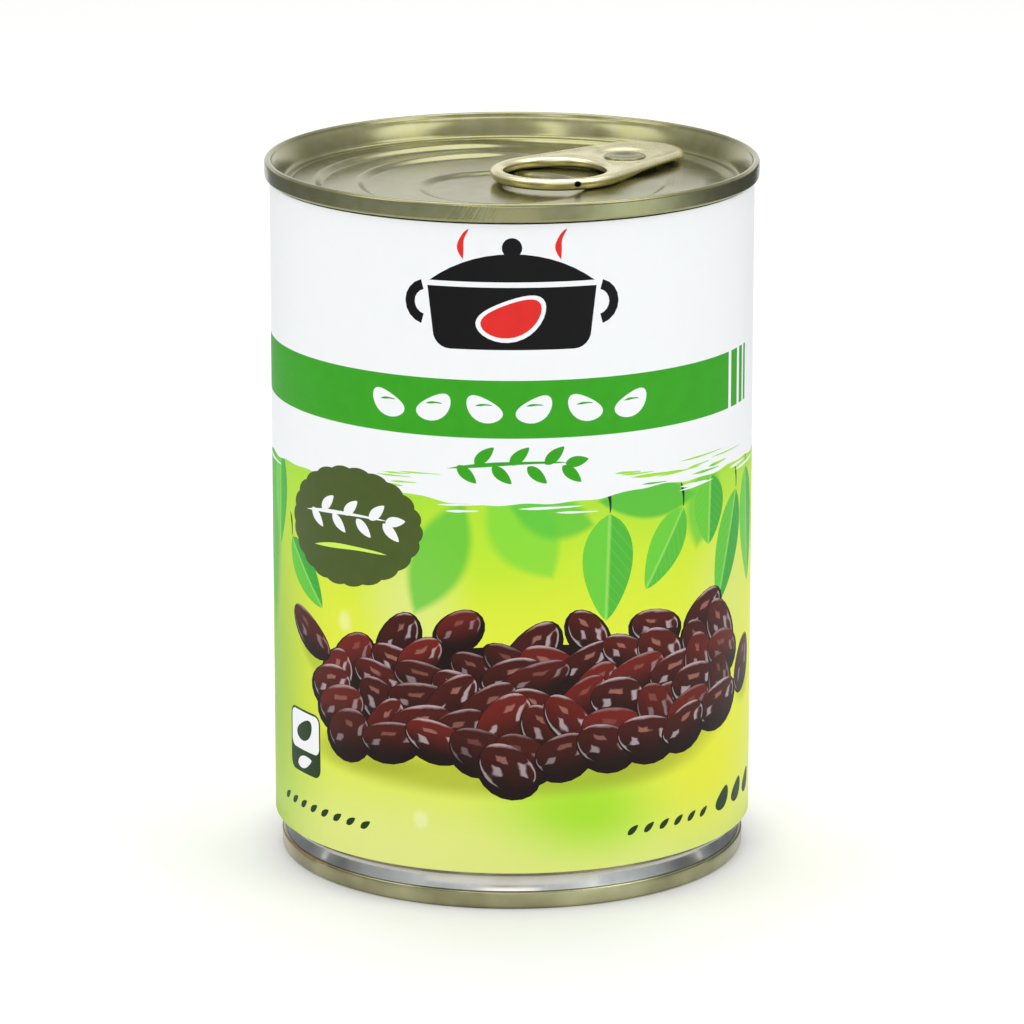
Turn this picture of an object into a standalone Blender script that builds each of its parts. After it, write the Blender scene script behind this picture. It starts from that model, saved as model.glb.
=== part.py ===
"""A shut tin can of beans with a paper wrap label and a ring-pull lid.

Metres, +Z up. The origin is the middle of the standing ring, on the table.
The can is a filled, sealed pack, so its drum is solid from end to end.
"""

import math

import bmesh
import bpy
from mathutils import Matrix, Vector

MM = 0.001

# Driving dimensions of the can
CAN_HEIGHT = 108.0 * MM
DRUM_RADIUS = 36.15 * MM
FIT_GAP = 0.3 * MM
TURN_STEPS = 72

# Lid: double seam, chuck wall and stepped panel
LID_SEAM_RADIUS = 37.5 * MM
LID_SEAM_HEIGHT = 2.8 * MM
LID_SEAM_ROUND = 0.5 * MM
SEAM_CREST_WIDTH = 1.0 * MM
CHUCK_WALL_TOP = 36.4 * MM
CHUCK_WALL_FOOT = 34.9 * MM
LEDGE_Z = 104.7 * MM
OUTER_RING_Z = 104.4 * MM
MIDDLE_RING_Z = 103.95 * MM
PANEL_Z = 103.5 * MM
LEDGE_RADIUS = 34.2 * MM
OUTER_STEP_RADIUS = 30.0 * MM
INNER_STEP_RADIUS = 23.6 * MM
STEP_RUN = 1.2 * MM
LID_UNDERSIDE = 102.3 * MM

# Finger well pressed into the panel under the ring
WELL_CENTRE = (-1.5 * MM, -1.3 * MM)
WELL_RADIUS = 12.5 * MM
WELL_FLOOR_RADIUS = 11.5 * MM
WELL_DEPTH = 0.5 * MM

# Rivet and ring pull, which is swivelled a little about its rivet
RIVET_DISTANCE = 24.0 * MM
RIVET_AZIMUTH = math.radians(43.5)
RIVET_POST_RADIUS = 2.0 * MM
RIVET_HEAD_RADIUS = 3.1 * MM
RIVET_HEAD_THICKNESS = 0.35 * MM
TAB_AZIMUTH = math.radians(47.5)
TAB_RISE = 0.012
TAB_TOP_AT_RIVET = 105.5 * MM
TAB_THICKNESS = 1.15 * MM
TAB_EDGE_ROUND = 0.4 * MM
TAB_FLOOR_THICKNESS = 0.35 * MM
RING_OFFSET = -15.2 * MM
RING_RADIUS = 10.5 * MM
NOSE_OFFSET = 2.4 * MM
NOSE_RADIUS = 7.5 * MM
HOLE_OFFSET = -16.1 * MM
HOLE_HALF_LENGTH = 7.6 * MM
HOLE_HALF_WIDTH = 8.1 * MM
DISH_RADIUS = 5.0 * MM
DISH_FLOOR_RADIUS = 3.9 * MM
RIVET_HOLE_RADIUS = 2.4 * MM

# Shallow bed in the panel for the nose of the ring pull
BED_FLOOR_Z = 103.85 * MM
BED_RADIUS = 9.0 * MM
BED_INNER = -8.0 * MM
BED_OUTER = 1.2 * MM

# Base end: double seam and ringed panel, seen from below
BASE_SEAM_RADIUS = 35.75 * MM
BASE_SEAM_HEIGHT = 2.75 * MM
BASE_ROUND = 0.45 * MM
STANDING_RING_WIDTH = 1.2 * MM
BASE_WALL_RADIUS = 33.3 * MM
BASE_GROOVE_Z = 2.3 * MM
BASE_PANEL_Z = 1.9 * MM
BASE_RING_RISE = 0.3 * MM
BASE_RINGS = (24.0 * MM, 16.0 * MM)
BASE_RING_WIDTH = 3.6 * MM
BASE_RING_SLOPE = 0.6 * MM

# Neck where the drum narrows into the base seam
NECK_TOP_Z = 6.4 * MM
NECK_RADIUS = 34.8 * MM

# Paper label
LABEL_THICKNESS = 0.3 * MM
LABEL_BOTTOM = 6.0 * MM
LABEL_TOP = CAN_HEIGHT - LID_SEAM_HEIGHT - FIT_GAP

COLOURS = {
    "tinplate": (0.62, 0.62, 0.56, 1.0),
    "lacquer": (0.45, 0.41, 0.24, 1.0),
    "ring": (0.58, 0.54, 0.36, 1.0),
    "paper": (0.48, 0.72, 0.07, 1.0),
}


def clear_scene():
    """Remove every object of the start scene."""
    for item in list(bpy.data.objects):
        bpy.data.objects.remove(item, do_unlink=True)


def new_collection(name):
    """Make a collection and link it to the scene."""
    group = bpy.data.collections.new(name)
    bpy.context.scene.collection.children.link(group)
    return group


def material(name, colour, roughness, metallic):
    """A Principled material of one plain finish."""
    finish = bpy.data.materials.new(name)
    finish.use_nodes = True
    shader = finish.node_tree.nodes["Principled BSDF"]
    shader.inputs["Base Color"].default_value = colour
    shader.inputs["Roughness"].default_value = roughness
    shader.inputs["Metallic"].default_value = metallic
    return finish


def add_object(name, mesh, group, finish=None):
    """Put a mesh in the scene as a named object."""
    item = bpy.data.objects.new(name, mesh)
    group.objects.link(item)
    if finish:
        mesh.materials.append(finish)
    return item


def quarter(centre, radius, start, end, count=3):
    """Points of a round corner in the (radius, height) plane, angles in degrees."""
    points = []
    for step in range(count + 1):
        angle = math.radians(start + (end - start) * step / count)
        points.append((centre[0] + radius * math.cos(angle), centre[1] + radius * math.sin(angle)))
    return points


def turned(name, profile, group, finish=None, closed=False):
    """Turn a (radius, height) profile, which runs down its outer side, about the can's axis."""
    mesh = bpy.data.meshes.new(name)
    vertices = [(radius, 0.0, height) for radius, height in profile]
    edges = [(index, index + 1) for index in range(len(profile) - 1)]
    if closed:
        edges.append((len(profile) - 1, 0))
    mesh.from_pydata(vertices, edges, [])
    item = add_object(name, mesh, group, finish)
    screw = item.modifiers.new("turn", "SCREW")
    screw.axis = "Z"
    screw.angle = math.tau
    screw.steps = TURN_STEPS
    screw.render_steps = TURN_STEPS
    screw.use_merge_vertices = True
    screw.merge_threshold = 0.00001
    screw.use_smooth_shade = True
    return item


def combine(target, operation, other):
    """Cut or join another solid with a Boolean that keeps the exact solver."""
    step = target.modifiers.new(other.name, "BOOLEAN")
    step.operation = operation
    step.solver = "EXACT"
    step.object = other


def as_tool(item):
    """Show a cutter as wires only."""
    item.hide_render = True
    item.display_type = "WIRE"
    return item


def frustum(name, group, place, low_radius, high_radius, low, high):
    """A cone stub about a vertical axis through a place, between two heights."""
    mesh = bpy.data.meshes.new(name)
    work = bmesh.new()
    bmesh.ops.create_cone(
        work,
        cap_ends=True,
        segments=36,
        radius1=low_radius,
        radius2=high_radius,
        depth=high - low,
    )
    work.to_mesh(mesh)
    work.free()
    item = add_object(name, mesh, group)
    item.location = (place[0], place[1], (low + high) / 2)
    return item


def rounded_cone_outline(first, first_radius, second, second_radius, arc_points):
    """Outline of two discs on the X axis and the straight flanks that touch both."""
    lean = math.asin((first_radius - second_radius) / (second - first))
    half = math.pi / 2 - lean
    points = []
    for step in range(arc_points + 1):
        angle = -half + 2 * half * step / arc_points
        points.append((second + second_radius * math.cos(angle), second_radius * math.sin(angle)))
    for step in range(arc_points + 1):
        angle = half + (math.tau - 2 * half) * step / arc_points
        points.append((first + first_radius * math.cos(angle), first_radius * math.sin(angle)))
    return points


def ellipse_outline(centre, half_length, half_width, count):
    """Points of an ellipse on the X axis."""
    points = []
    for step in range(count):
        angle = math.tau * step / count
        points.append((centre + half_length * math.cos(angle), half_width * math.sin(angle)))
    return points


def flat_plate(name, outlines, thickness, edge_round, group, finish=None):
    """A plate of flat outlines with rounded edges, centred on its own mid plane."""
    curve = bpy.data.curves.new(name + "_outline", "CURVE")
    curve.dimensions = "2D"
    curve.fill_mode = "BOTH"
    curve.extrude = thickness / 2 - edge_round
    curve.bevel_depth = edge_round
    curve.bevel_resolution = 1
    curve.offset = -edge_round
    for outline in outlines:
        spline = curve.splines.new("POLY")
        spline.points.add(len(outline) - 1)
        for point, place in zip(spline.points, outline):
            point.co = (place[0], place[1], 0.0, 1.0)
        spline.use_cyclic_u = True
    drawn = bpy.data.objects.new(name + "_outline", curve)
    group.objects.link(drawn)
    bpy.context.view_layer.update()
    evaluated = drawn.evaluated_get(bpy.context.evaluated_depsgraph_get())
    mesh = bpy.data.meshes.new_from_object(evaluated)
    mesh.materials.clear()
    bpy.data.objects.remove(drawn, do_unlink=True)
    work = bmesh.new()
    work.from_mesh(mesh)
    bmesh.ops.remove_doubles(work, verts=work.verts, dist=0.00001)
    bmesh.ops.recalc_face_normals(work, faces=work.faces)
    work.to_mesh(mesh)
    work.free()
    return add_object(name, mesh, group, finish)


def lid_profile():
    """Stepped panel, chuck wall, seam and plain underside, from the top centre outwards."""
    seam_foot = CAN_HEIGHT - LID_SEAM_HEIGHT
    seam_inner = LID_SEAM_RADIUS - SEAM_CREST_WIDTH
    points = [
        (0.0, PANEL_Z),
        (INNER_STEP_RADIUS - STEP_RUN, PANEL_Z),
        (INNER_STEP_RADIUS, MIDDLE_RING_Z),
        (OUTER_STEP_RADIUS - STEP_RUN, MIDDLE_RING_Z),
        (OUTER_STEP_RADIUS, OUTER_RING_Z),
        (LEDGE_RADIUS, OUTER_RING_Z),
        (CHUCK_WALL_FOOT, LEDGE_Z),
        (CHUCK_WALL_TOP, CAN_HEIGHT - LID_SEAM_ROUND),
    ]
    crest = CAN_HEIGHT - LID_SEAM_ROUND
    points += quarter((seam_inner + LID_SEAM_ROUND, crest), LID_SEAM_ROUND, 150, 90, 2)
    points += quarter((LID_SEAM_RADIUS - LID_SEAM_ROUND, crest), LID_SEAM_ROUND, 90, 0)
    foot_round = LID_SEAM_ROUND / 2
    points += quarter((LID_SEAM_RADIUS - foot_round, seam_foot + foot_round), foot_round, 0, -90, 2)
    points += [
        (DRUM_RADIUS, seam_foot),
        (DRUM_RADIUS, LID_UNDERSIDE),
        (0.0, LID_UNDERSIDE),
    ]
    return points


def make_lid(parts, tools, finish):
    """Ring-pull end: turned panel and seam, finger well, bed for the nose, and the rivet."""
    lid = turned("lid", lid_profile(), parts, finish)
    well_wall = (WELL_RADIUS - WELL_FLOOR_RADIUS) / WELL_DEPTH
    well_rise = WELL_DEPTH + FIT_GAP
    well = frustum(
        "well_cutter",
        tools,
        WELL_CENTRE,
        WELL_FLOOR_RADIUS,
        WELL_FLOOR_RADIUS + well_wall * well_rise,
        PANEL_Z - WELL_DEPTH,
        PANEL_Z + FIT_GAP,
    )
    combine(lid, "DIFFERENCE", as_tool(well))
    outline = rounded_cone_outline(BED_INNER, BED_RADIUS + FIT_GAP, BED_OUTER, BED_RADIUS, 16)
    bed_height = 2 * MM
    bed = flat_plate("bed_cutter", [outline], bed_height, FIT_GAP / 2, tools)
    bed.matrix_world = rivet_frame(BED_FLOOR_Z + bed_height / 2, RIVET_AZIMUTH, 0.0)
    combine(lid, "DIFFERENCE", as_tool(bed))
    rivet = turned_rivet(tools)
    combine(lid, "UNION", as_tool(rivet))
    return lid


def rivet_frame(height, azimuth, rise):
    """Place and turn of a piece on the rivet's axis, its nose rising outwards."""
    place = Vector((math.cos(RIVET_AZIMUTH), math.sin(RIVET_AZIMUTH), 0.0)) * RIVET_DISTANCE
    place.z = height
    turn = Matrix.Rotation(azimuth, 4, "Z") @ Matrix.Rotation(-rise, 4, "Y")
    return Matrix.Translation(place) @ turn


def turned_rivet(tools):
    """Rivet raised from the panel, with a flat head over the ring pull's floor."""
    head_under = TAB_TOP_AT_RIVET - TAB_THICKNESS + TAB_FLOOR_THICKNESS + FIT_GAP
    head_top = head_under + RIVET_HEAD_THICKNESS
    edge = RIVET_HEAD_THICKNESS / 2
    profile = [
        (0.0, head_top),
        (RIVET_HEAD_RADIUS - edge, head_top),
        (RIVET_HEAD_RADIUS, head_under + edge),
        (RIVET_HEAD_RADIUS - edge / 2, head_under),
        (RIVET_POST_RADIUS, head_under),
        (RIVET_POST_RADIUS, LID_UNDERSIDE + FIT_GAP),
        (0.0, LID_UNDERSIDE + FIT_GAP),
    ]
    rivet = turned("rivet", profile, tools)
    turn = rivet.modifiers["turn"]
    turn.steps = TURN_STEPS // 3
    turn.render_steps = TURN_STEPS // 3
    rivet.matrix_world = rivet_frame(0.0, TAB_AZIMUTH, 0.0)
    return rivet


def make_tab(parts, tools, finish):
    """Ring pull: rounded plate with a finger hole, a dish and the rivet's hole."""
    outline = rounded_cone_outline(RING_OFFSET, RING_RADIUS, NOSE_OFFSET, NOSE_RADIUS, 22)
    hole = ellipse_outline(HOLE_OFFSET, HOLE_HALF_LENGTH, HOLE_HALF_WIDTH, 32)
    tab = flat_plate("tab", [outline, hole], TAB_THICKNESS, TAB_EDGE_ROUND, parts, finish)
    tab.matrix_world = rivet_frame(TAB_TOP_AT_RIVET - TAB_THICKNESS / 2, TAB_AZIMUTH, TAB_RISE)
    centre = rivet_frame(0.0, TAB_AZIMUTH, 0.0).translation
    floor = TAB_TOP_AT_RIVET - TAB_THICKNESS + TAB_FLOOR_THICKNESS
    depth = TAB_TOP_AT_RIVET - floor
    spread = (DISH_RADIUS - DISH_FLOOR_RADIUS) / depth
    dish_top = TAB_TOP_AT_RIVET + 2 * FIT_GAP
    dish = frustum(
        "dish_cutter",
        tools,
        centre,
        DISH_FLOOR_RADIUS,
        DISH_FLOOR_RADIUS + spread * (dish_top - floor),
        floor,
        dish_top,
    )
    combine(tab, "DIFFERENCE", as_tool(dish))
    bore = frustum(
        "bore_cutter",
        tools,
        centre,
        RIVET_HOLE_RADIUS,
        RIVET_HOLE_RADIUS,
        TAB_TOP_AT_RIVET - 2 * TAB_THICKNESS,
        TAB_TOP_AT_RIVET + TAB_THICKNESS,
    )
    combine(tab, "DIFFERENCE", as_tool(bore))
    return tab


def make_body(parts, finish):
    """Solid drum that narrows to its neck above the base seam."""
    foot = BASE_SEAM_HEIGHT + FIT_GAP
    top = LID_UNDERSIDE - FIT_GAP
    profile = [(0.0, top), (DRUM_RADIUS, top)]
    drop = NECK_TOP_Z - foot
    inset = DRUM_RADIUS - NECK_RADIUS
    neck_rings = 6
    for step in range(neck_rings + 1):
        part = step / neck_rings
        ease = part * part * (3 - 2 * part)
        profile.append((DRUM_RADIUS - inset * ease, NECK_TOP_Z - drop * part))
    profile.append((0.0, foot))
    return turned("body", profile, parts, finish)


def make_label(parts, finish):
    """Paper sleeve round the drum."""
    inner = DRUM_RADIUS + FIT_GAP
    outer = inner + LABEL_THICKNESS
    profile = [(inner, LABEL_TOP), (outer, LABEL_TOP), (outer, LABEL_BOTTOM), (inner, LABEL_BOTTOM)]
    return turned("label", profile, parts, finish, closed=True)


def make_base(parts, finish):
    """Base end: seam with a flat standing ring, groove and ringed panel on its underside."""
    upper = BASE_SEAM_HEIGHT - BASE_ROUND
    profile = [(0.0, BASE_SEAM_HEIGHT)]
    profile += quarter((BASE_SEAM_RADIUS - BASE_ROUND, upper), BASE_ROUND, 90, 0)
    profile += quarter((BASE_SEAM_RADIUS - BASE_ROUND, BASE_ROUND), BASE_ROUND, 0, -90)
    ring_inner = BASE_SEAM_RADIUS - BASE_ROUND - STANDING_RING_WIDTH
    profile += [
        (ring_inner, 0.0),
        (BASE_WALL_RADIUS + BASE_ROUND / 2, BASE_ROUND),
        (BASE_WALL_RADIUS, BASE_GROOVE_Z - BASE_ROUND),
        (BASE_WALL_RADIUS - BASE_ROUND, BASE_GROOVE_Z),
        (BASE_WALL_RADIUS - 3 * BASE_ROUND, BASE_GROOVE_Z),
        (BASE_WALL_RADIUS - 4 * BASE_ROUND, BASE_PANEL_Z),
    ]
    for radius in BASE_RINGS:
        profile += [
            (radius, BASE_PANEL_Z),
            (radius - BASE_RING_SLOPE, BASE_PANEL_Z + BASE_RING_RISE),
            (radius - BASE_RING_WIDTH, BASE_PANEL_Z + BASE_RING_RISE),
            (radius - BASE_RING_WIDTH - BASE_RING_SLOPE, BASE_PANEL_Z),
        ]
    profile.append((0.0, BASE_PANEL_Z))
    return turned("base", profile, parts, finish)


def main():
    """Build the can from its base to its ring pull."""
    clear_scene()
    parts = new_collection("canned_beans")
    tools = new_collection("cutters")
    tinplate = material("tinplate", COLOURS["tinplate"], 0.3, 1.0)
    lacquer = material("lacquered tinplate", COLOURS["lacquer"], 0.35, 1.0)
    ring = material("ring pull steel", COLOURS["ring"], 0.3, 1.0)
    paper = material("label paper", COLOURS["paper"], 0.5, 0.0)
    make_body(parts, tinplate)
    make_label(parts, paper)
    make_base(parts, lacquer)
    make_lid(parts, tools, lacquer)
    make_tab(parts, tools, ring)


main()
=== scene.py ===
"""Looks of a shut tin can of beans: lacquered ends, ring pull and a printed paper wrap."""

import logging
import math
import random
from collections.abc import Callable
from dataclasses import dataclass, field
from enum import Enum
from functools import partial

import bpy
from mathutils import Matrix, Vector
from mathutils.geometry import delaunay_2d_cdt


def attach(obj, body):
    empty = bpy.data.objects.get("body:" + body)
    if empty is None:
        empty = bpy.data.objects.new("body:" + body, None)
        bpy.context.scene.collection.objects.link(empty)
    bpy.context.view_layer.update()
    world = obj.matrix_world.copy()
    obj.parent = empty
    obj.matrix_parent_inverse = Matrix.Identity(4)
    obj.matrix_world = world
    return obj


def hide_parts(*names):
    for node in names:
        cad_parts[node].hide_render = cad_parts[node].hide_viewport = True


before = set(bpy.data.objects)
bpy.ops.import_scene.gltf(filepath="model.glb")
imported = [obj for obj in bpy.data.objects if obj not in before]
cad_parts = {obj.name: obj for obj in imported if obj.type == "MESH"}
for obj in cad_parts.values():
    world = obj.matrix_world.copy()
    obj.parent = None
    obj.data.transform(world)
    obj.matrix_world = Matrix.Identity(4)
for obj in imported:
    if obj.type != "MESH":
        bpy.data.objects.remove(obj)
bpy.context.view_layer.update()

LOG = logging.getLogger("can")
MM = 0.001
Point = tuple[float, float]
Spot = tuple[float, float, float]
Socket = bpy.types.NodeSocket
Sockets = bpy.types.bpy_prop_collection
Adder = Callable[..., Socket]

# Sizes that the part's source sets, in millimetres
CAN_HEIGHT = 108.0
DRUM_RADIUS = 36.55
LABEL_RADIUS = 36.75
LABEL_BOTTOM = 6.0
LABEL_TOP = 104.9
RIVET_AZIMUTH = math.radians(43.5)
RIVET = (24.0 * math.cos(RIVET_AZIMUTH), 24.0 * math.sin(RIVET_AZIMUTH))
TAB_AZIMUTH = math.radians(47.5)
TAB_RISE = 0.012
TAB_TOP_AT_RIVET = 105.5
TAB_THICKNESS = 1.15


def linear(code: str) -> tuple[float, float, float, float]:
    """Turn an sRGB hex colour to linear RGBA.

    Args:
        code: six hex digits after a hash.

    Returns:
        The linear colour with full alpha.
    """
    parts = [int(code[place : place + 2], 16) / 255 for place in (1, 3, 5)]
    bent = [p / 12.92 if p <= 0.04045 else ((p + 0.055) / 1.055) ** 2.4 for p in parts]
    return (bent[0], bent[1], bent[2], 1.0)


def ease(value: float) -> float:
    """Smooth step from 0 to 1, held at both ends."""
    part = min(max(value, 0.0), 1.0)
    return part * part * (3 - 2 * part)


def add_node(
    tree: bpy.types.NodeTree, kind: str, *values: object, out: str | int | None = 0, **settings: object
) -> Socket | Sockets | None:
    """Add a node with its settings, values and links.

    Args:
        tree: the tree that takes the node.
        kind: the node's type, a shader node's without its prefix.
        values: what goes into the inputs in use, in order; None leaves one alone.
        out: the output to return, by name or by its number among those in use; None for all.
        settings: properties in small letters, inputs with a capital, the inputs whose name has a
            space as a dict named sockets, and a colour ramp's stops.

    Returns:
        The wanted output, or None where the node has none.
    """
    whole = kind.startswith(("GeometryNode", "FunctionNode", "NodeGroup"))
    node = tree.nodes.new(kind if whole else "ShaderNode" + kind)
    named = dict(settings.pop("sockets", {}))
    stops = settings.pop("stops", ())
    for name, value in settings.items():
        if name[0].isupper():
            named[name] = value
        else:
            setattr(node, name, value)
    used = [socket for socket in node.inputs if socket.enabled]
    pairs = [(socket, value) for socket, value in zip(used, values) if value is not None]
    pairs += [(node.inputs[name], value) for name, value in named.items()]
    for socket, value in pairs:
        if isinstance(value, Socket):
            tree.links.new(value, socket)
        else:
            socket.default_value = linear(value) if str(value).startswith("#") else value
    while stops and len(node.color_ramp.elements) < len(stops):
        node.color_ramp.elements.new(0.5)
    for stop, (position, colour) in zip(node.color_ramp.elements if stops else (), stops):
        stop.position = position
        stop.color = colour
    if out is None or isinstance(out, str):
        return node.outputs[out] if out else node.outputs
    ready = [socket for socket in node.outputs if socket.enabled]
    return ready[out] if ready else None


def new_material(name: str) -> tuple[bpy.types.Material, Adder]:
    """Make an empty node material.

    Args:
        name: the real material's name.

    Returns:
        The material and the function that adds its nodes.
    """
    material = bpy.data.materials.new(name)
    material.use_nodes = True
    material.node_tree.nodes.clear()
    return material, partial(add_node, material.node_tree)


def new_group(
    name: str, kind: str, inputs: dict[str, str], output: str
) -> tuple[bpy.types.NodeTree, Adder, Sockets]:
    """Start a node group.

    Args:
        name: its name.
        kind: Shader or Geometry.
        inputs: the socket type of each named input.
        output: the output's socket type.

    Returns:
        The group, the function that adds its nodes, and its inputs.
    """
    tree = bpy.data.node_groups.new(name, kind + "NodeTree")
    for label, socket in inputs.items():
        tree.interface.new_socket(label, in_out="INPUT", socket_type="NodeSocket" + socket)
    tree.interface.new_socket("Result", in_out="OUTPUT", socket_type="NodeSocket" + output)
    add = partial(add_node, tree)
    return tree, add, add("NodeGroupInput", out=None)


def mesh_object(
    name: str, points: list, faces: list, materials: list[bpy.types.Material], smooth: float | None = 35.0
) -> bpy.types.Object:
    """Make a mesh object at the origin.

    Args:
        name: the piece's name.
        points: vertex places in metres.
        faces: vertex numbers of each face.
        materials: the piece's materials in slot order.
        smooth: the angle in degrees over which edges stay sharp, or None for flat faces.

    Returns:
        The new object, linked to the scene.
    """
    mesh = bpy.data.meshes.new(name)
    mesh.from_pydata([tuple(point) for point in points], [], faces)
    mesh.validate()
    if smooth is not None:
        mesh.shade_smooth()
        mesh.set_sharp_from_angle(angle=math.radians(smooth))
    for material in materials:
        mesh.materials.append(material)
    item = bpy.data.objects.new(name, mesh)
    bpy.context.scene.collection.objects.link(item)
    return item


def run_group(item: bpy.types.Object, tree: bpy.types.NodeTree, values: dict[str, float]) -> None:
    """Run Geometry Nodes on an object and keep the result as its plain mesh.

    Args:
        item: the object.
        tree: the node group.
        values: the group's inputs by name.
    """
    modifier = item.modifiers.new(tree.name, "NODES")
    modifier.node_group = tree
    for socket in tree.interface.items_tree:
        if socket.name in values:
            modifier[socket.identifier] = values[socket.name]
    bpy.context.view_layer.update()
    evaluated = item.evaluated_get(bpy.context.evaluated_depsgraph_get())
    mesh = bpy.data.meshes.new_from_object(evaluated)
    item.modifiers.clear()
    item.data = mesh
    mesh.name = item.name


def hand_over(item: bpy.types.Object, slot: str, *replaced: str) -> None:
    """Set a finished piece on the can's body and report it.

    Args:
        item: the finished piece.
        slot: not used.
        replaced: the CAD nodes that it stands for.
    """
    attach(item, "root")
    if replaced:
        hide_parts(*replaced)
    LOG.info("%s: %d faces for %s", item.name, len(item.data.polygons), ", ".join(replaced) or "trim")


def arc_points(centre: Point, radius: float, start: float, end: float, count: int) -> list[Point]:
    """Points along an arc, angles in degrees."""
    angles = [math.radians(start + (end - start) * step / count) for step in range(count + 1)]
    return [(centre[0] + radius * math.cos(a), centre[1] + radius * math.sin(a)) for a in angles]


def oval_points(middle: float, length: float, width: float, count: int) -> list[Point]:
    """Points of an oval whose middle lies along the first axis."""
    angles = [math.tau * step / count for step in range(count)]
    return [(middle + length * math.cos(angle), width * math.sin(angle)) for angle in angles]


def revolve(
    profile: list[tuple[float, float | None]], steps: int,
    level: Callable[[float, float], float] | None = None,
) -> tuple[list, list]:
    """Turn a profile about the can's axis, its ends closed on the axis.

    Args:
        profile: (radius, height) in millimetres, from the top centre down the outer side.
        steps: the number of steps round the axis.
        level: gives the height at a radius and an angle where the profile has None.

    Returns:
        Vertices in metres and faces that point outwards.
    """
    rings = profile[1:-1]
    points = [(0.0, 0.0, profile[0][1] * MM)]
    for radius, fixed in rings:
        for step in range(steps):
            angle = math.tau * step / steps
            height = level(radius, angle) if fixed is None else fixed
            points.append((radius * math.cos(angle) * MM, radius * math.sin(angle) * MM, height * MM))
    last = len(points)
    points.append((0.0, 0.0, profile[-1][1] * MM))
    bottom = last - steps
    faces = []
    for step in range(steps):
        after = (step + 1) % steps
        faces.append((0, 1 + step, 1 + after))
        for upper in range(1, bottom, steps):
            lower = upper + steps
            faces.append((upper + step, lower + step, lower + after, upper + after))
        faces.append((bottom + step, last, bottom + after))
    return points, faces


# Finishes


@dataclass(frozen=True)
class LacqueredTinplate:
    """Tin-plated steel under a clear khaki-gold lacquer, drawn and seamed by rollers.

    The lacquer tints every reflection, and faint roller marks and rubbed patches break up the gloss; where
    the patches are wide and strongly light and dark, as on the base end, they are also painted
    reflections.
    """

    name: str
    light: str
    dark: str
    roughness: float
    rub_spacing: float = 2.5
    # Roller marks are finer than this, and are drawn this coarse so that they show
    grain_spacing: float = 0.35
    rust: bool = False
    fleck: Spot | None = None
    scratched: bool = False

    def make(self) -> bpy.types.Material:
        """Build the material.

        Returns:
            The lacquered metal.
        """
        material, add = new_material(self.name)
        place = add("TexCoord", out="Object")
        # Patches between a dark and a light colour: rubs in the lacquer, and on the base end also painted
        # reflections along the seam
        rubs_and_sheen = add("TexNoise", place, 1 / (self.rub_spacing * MM), 4.0)
        patches = add("MapRange", rubs_and_sheen, 0.36, 0.64, 0.0, 1.0)
        shade = add("Mix", patches, self.dark, self.light, data_type="RGBA")
        stretched = add("Mapping", place, Scale=(0.25, 0.25, 1.0))
        grain = add("TexNoise", stretched, 1 / (self.grain_spacing * MM), 2.0)
        rough = add("MapRange", rubs_and_sheen, 0.3, 0.7, self.roughness * 0.9, self.roughness * 1.15)
        bump = add("Bump", Strength=0.03, Distance=0.02 * MM, Height=grain)
        if self.scratched:
            bump = self.scratches(add, place, bump)
        metallic = 1.0
        if self.rust:
            shade, metallic = self.rusted(add, place, shade)
        if self.fleck:
            shade = self.flecked(add, place, shade)
        metal = {"Base Color": shade, "Metallic": metallic, "Roughness": rough, "Normal": bump}
        add("OutputMaterial", add("BsdfPrincipled", sockets=metal))
        return material

    def scratches(self, add: Adder, place: Socket, smooth: Socket) -> Socket:
        """Cut short slanting scratches into the front of the seam, left of its middle.

        Args:
            add: the function that adds nodes.
            place: object coordinates.
            smooth: the normal of the unscratched metal.

        Returns:
            The scratched normal.
        """
        turned = add("VectorRotate", Vector=place, Angle=math.radians(58), rotation_type="Y_AXIS")
        drawn = add("Mapping", turned, Scale=(0.1, 0.3, 1.0))
        lines = add("TexNoise", drawn, 1 / (0.32 * MM), 1.0)
        axes = add("SeparateXYZ", place, out=None)
        away = add("Math", axes[0], 6.0 * MM, operation="ADD")
        away = add("Math", away, operation="ABSOLUTE")
        near = add("MapRange", away, 3.0 * MM, 9.0 * MM, 0.75, 0.0)
        front = add("Math", axes[1], -34.0 * MM, operation="LESS_THAN")
        depth = add("Math", near, front, operation="MULTIPLY")
        return add("Bump", Strength=depth, Distance=0.06 * MM, Height=lines, Normal=smooth)

    def rusted(self, add: Adder, place: Socket, shade: Socket) -> tuple[Socket, Socket]:
        """Lay a broken thin line of rust where the seam meets the drum.

        Args:
            add: the function that adds nodes.
            place: object coordinates.
            shade: the colour under the rust.

        Returns:
            The colour with rust, and the metallic value.
        """
        axes = add("SeparateXYZ", place, out=None)
        above = add("Math", axes[2], -2.5 * MM, operation="ADD")
        above = add("Math", above, operation="ABSOLUTE")
        height = add("MapRange", above, 0.08 * MM, 0.16 * MM, 1.0, 0.0)
        side = add("MapRange", axes[0], -23.0 * MM, -30.0 * MM, 0.0, 1.0)
        broken = add("TexNoise", place, 1 / (2.2 * MM), 5.0)
        patches = add("MapRange", broken, 0.36, 0.5, 0.0, 1.0)
        line = add("Math", height, side, operation="MULTIPLY")
        line = add("Math", line, patches, operation="MULTIPLY")
        tinted = add("Mix", line, shade, "#B5713A", data_type="RGBA")
        return tinted, add("MapRange", line, 0.0, 1.0, 1.0, 0.2)

    def flecked(self, add: Adder, place: Socket, shade: Socket) -> Socket:
        """Put one small dark fleck of dirt at a place on the metal.

        Args:
            add: the function that adds nodes.
            place: object coordinates.
            shade: the colour under the fleck.

        Returns:
            The colour with the fleck.
        """
        spot = tuple(part * MM for part in self.fleck)
        away = add("VectorMath", place, spot, operation="DISTANCE")
        near = add("MapRange", away, 0.45 * MM, 0.65 * MM, 1.0, 0.0)
        return add("Mix", near, shade, "#1A1812", data_type="RGBA")


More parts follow.
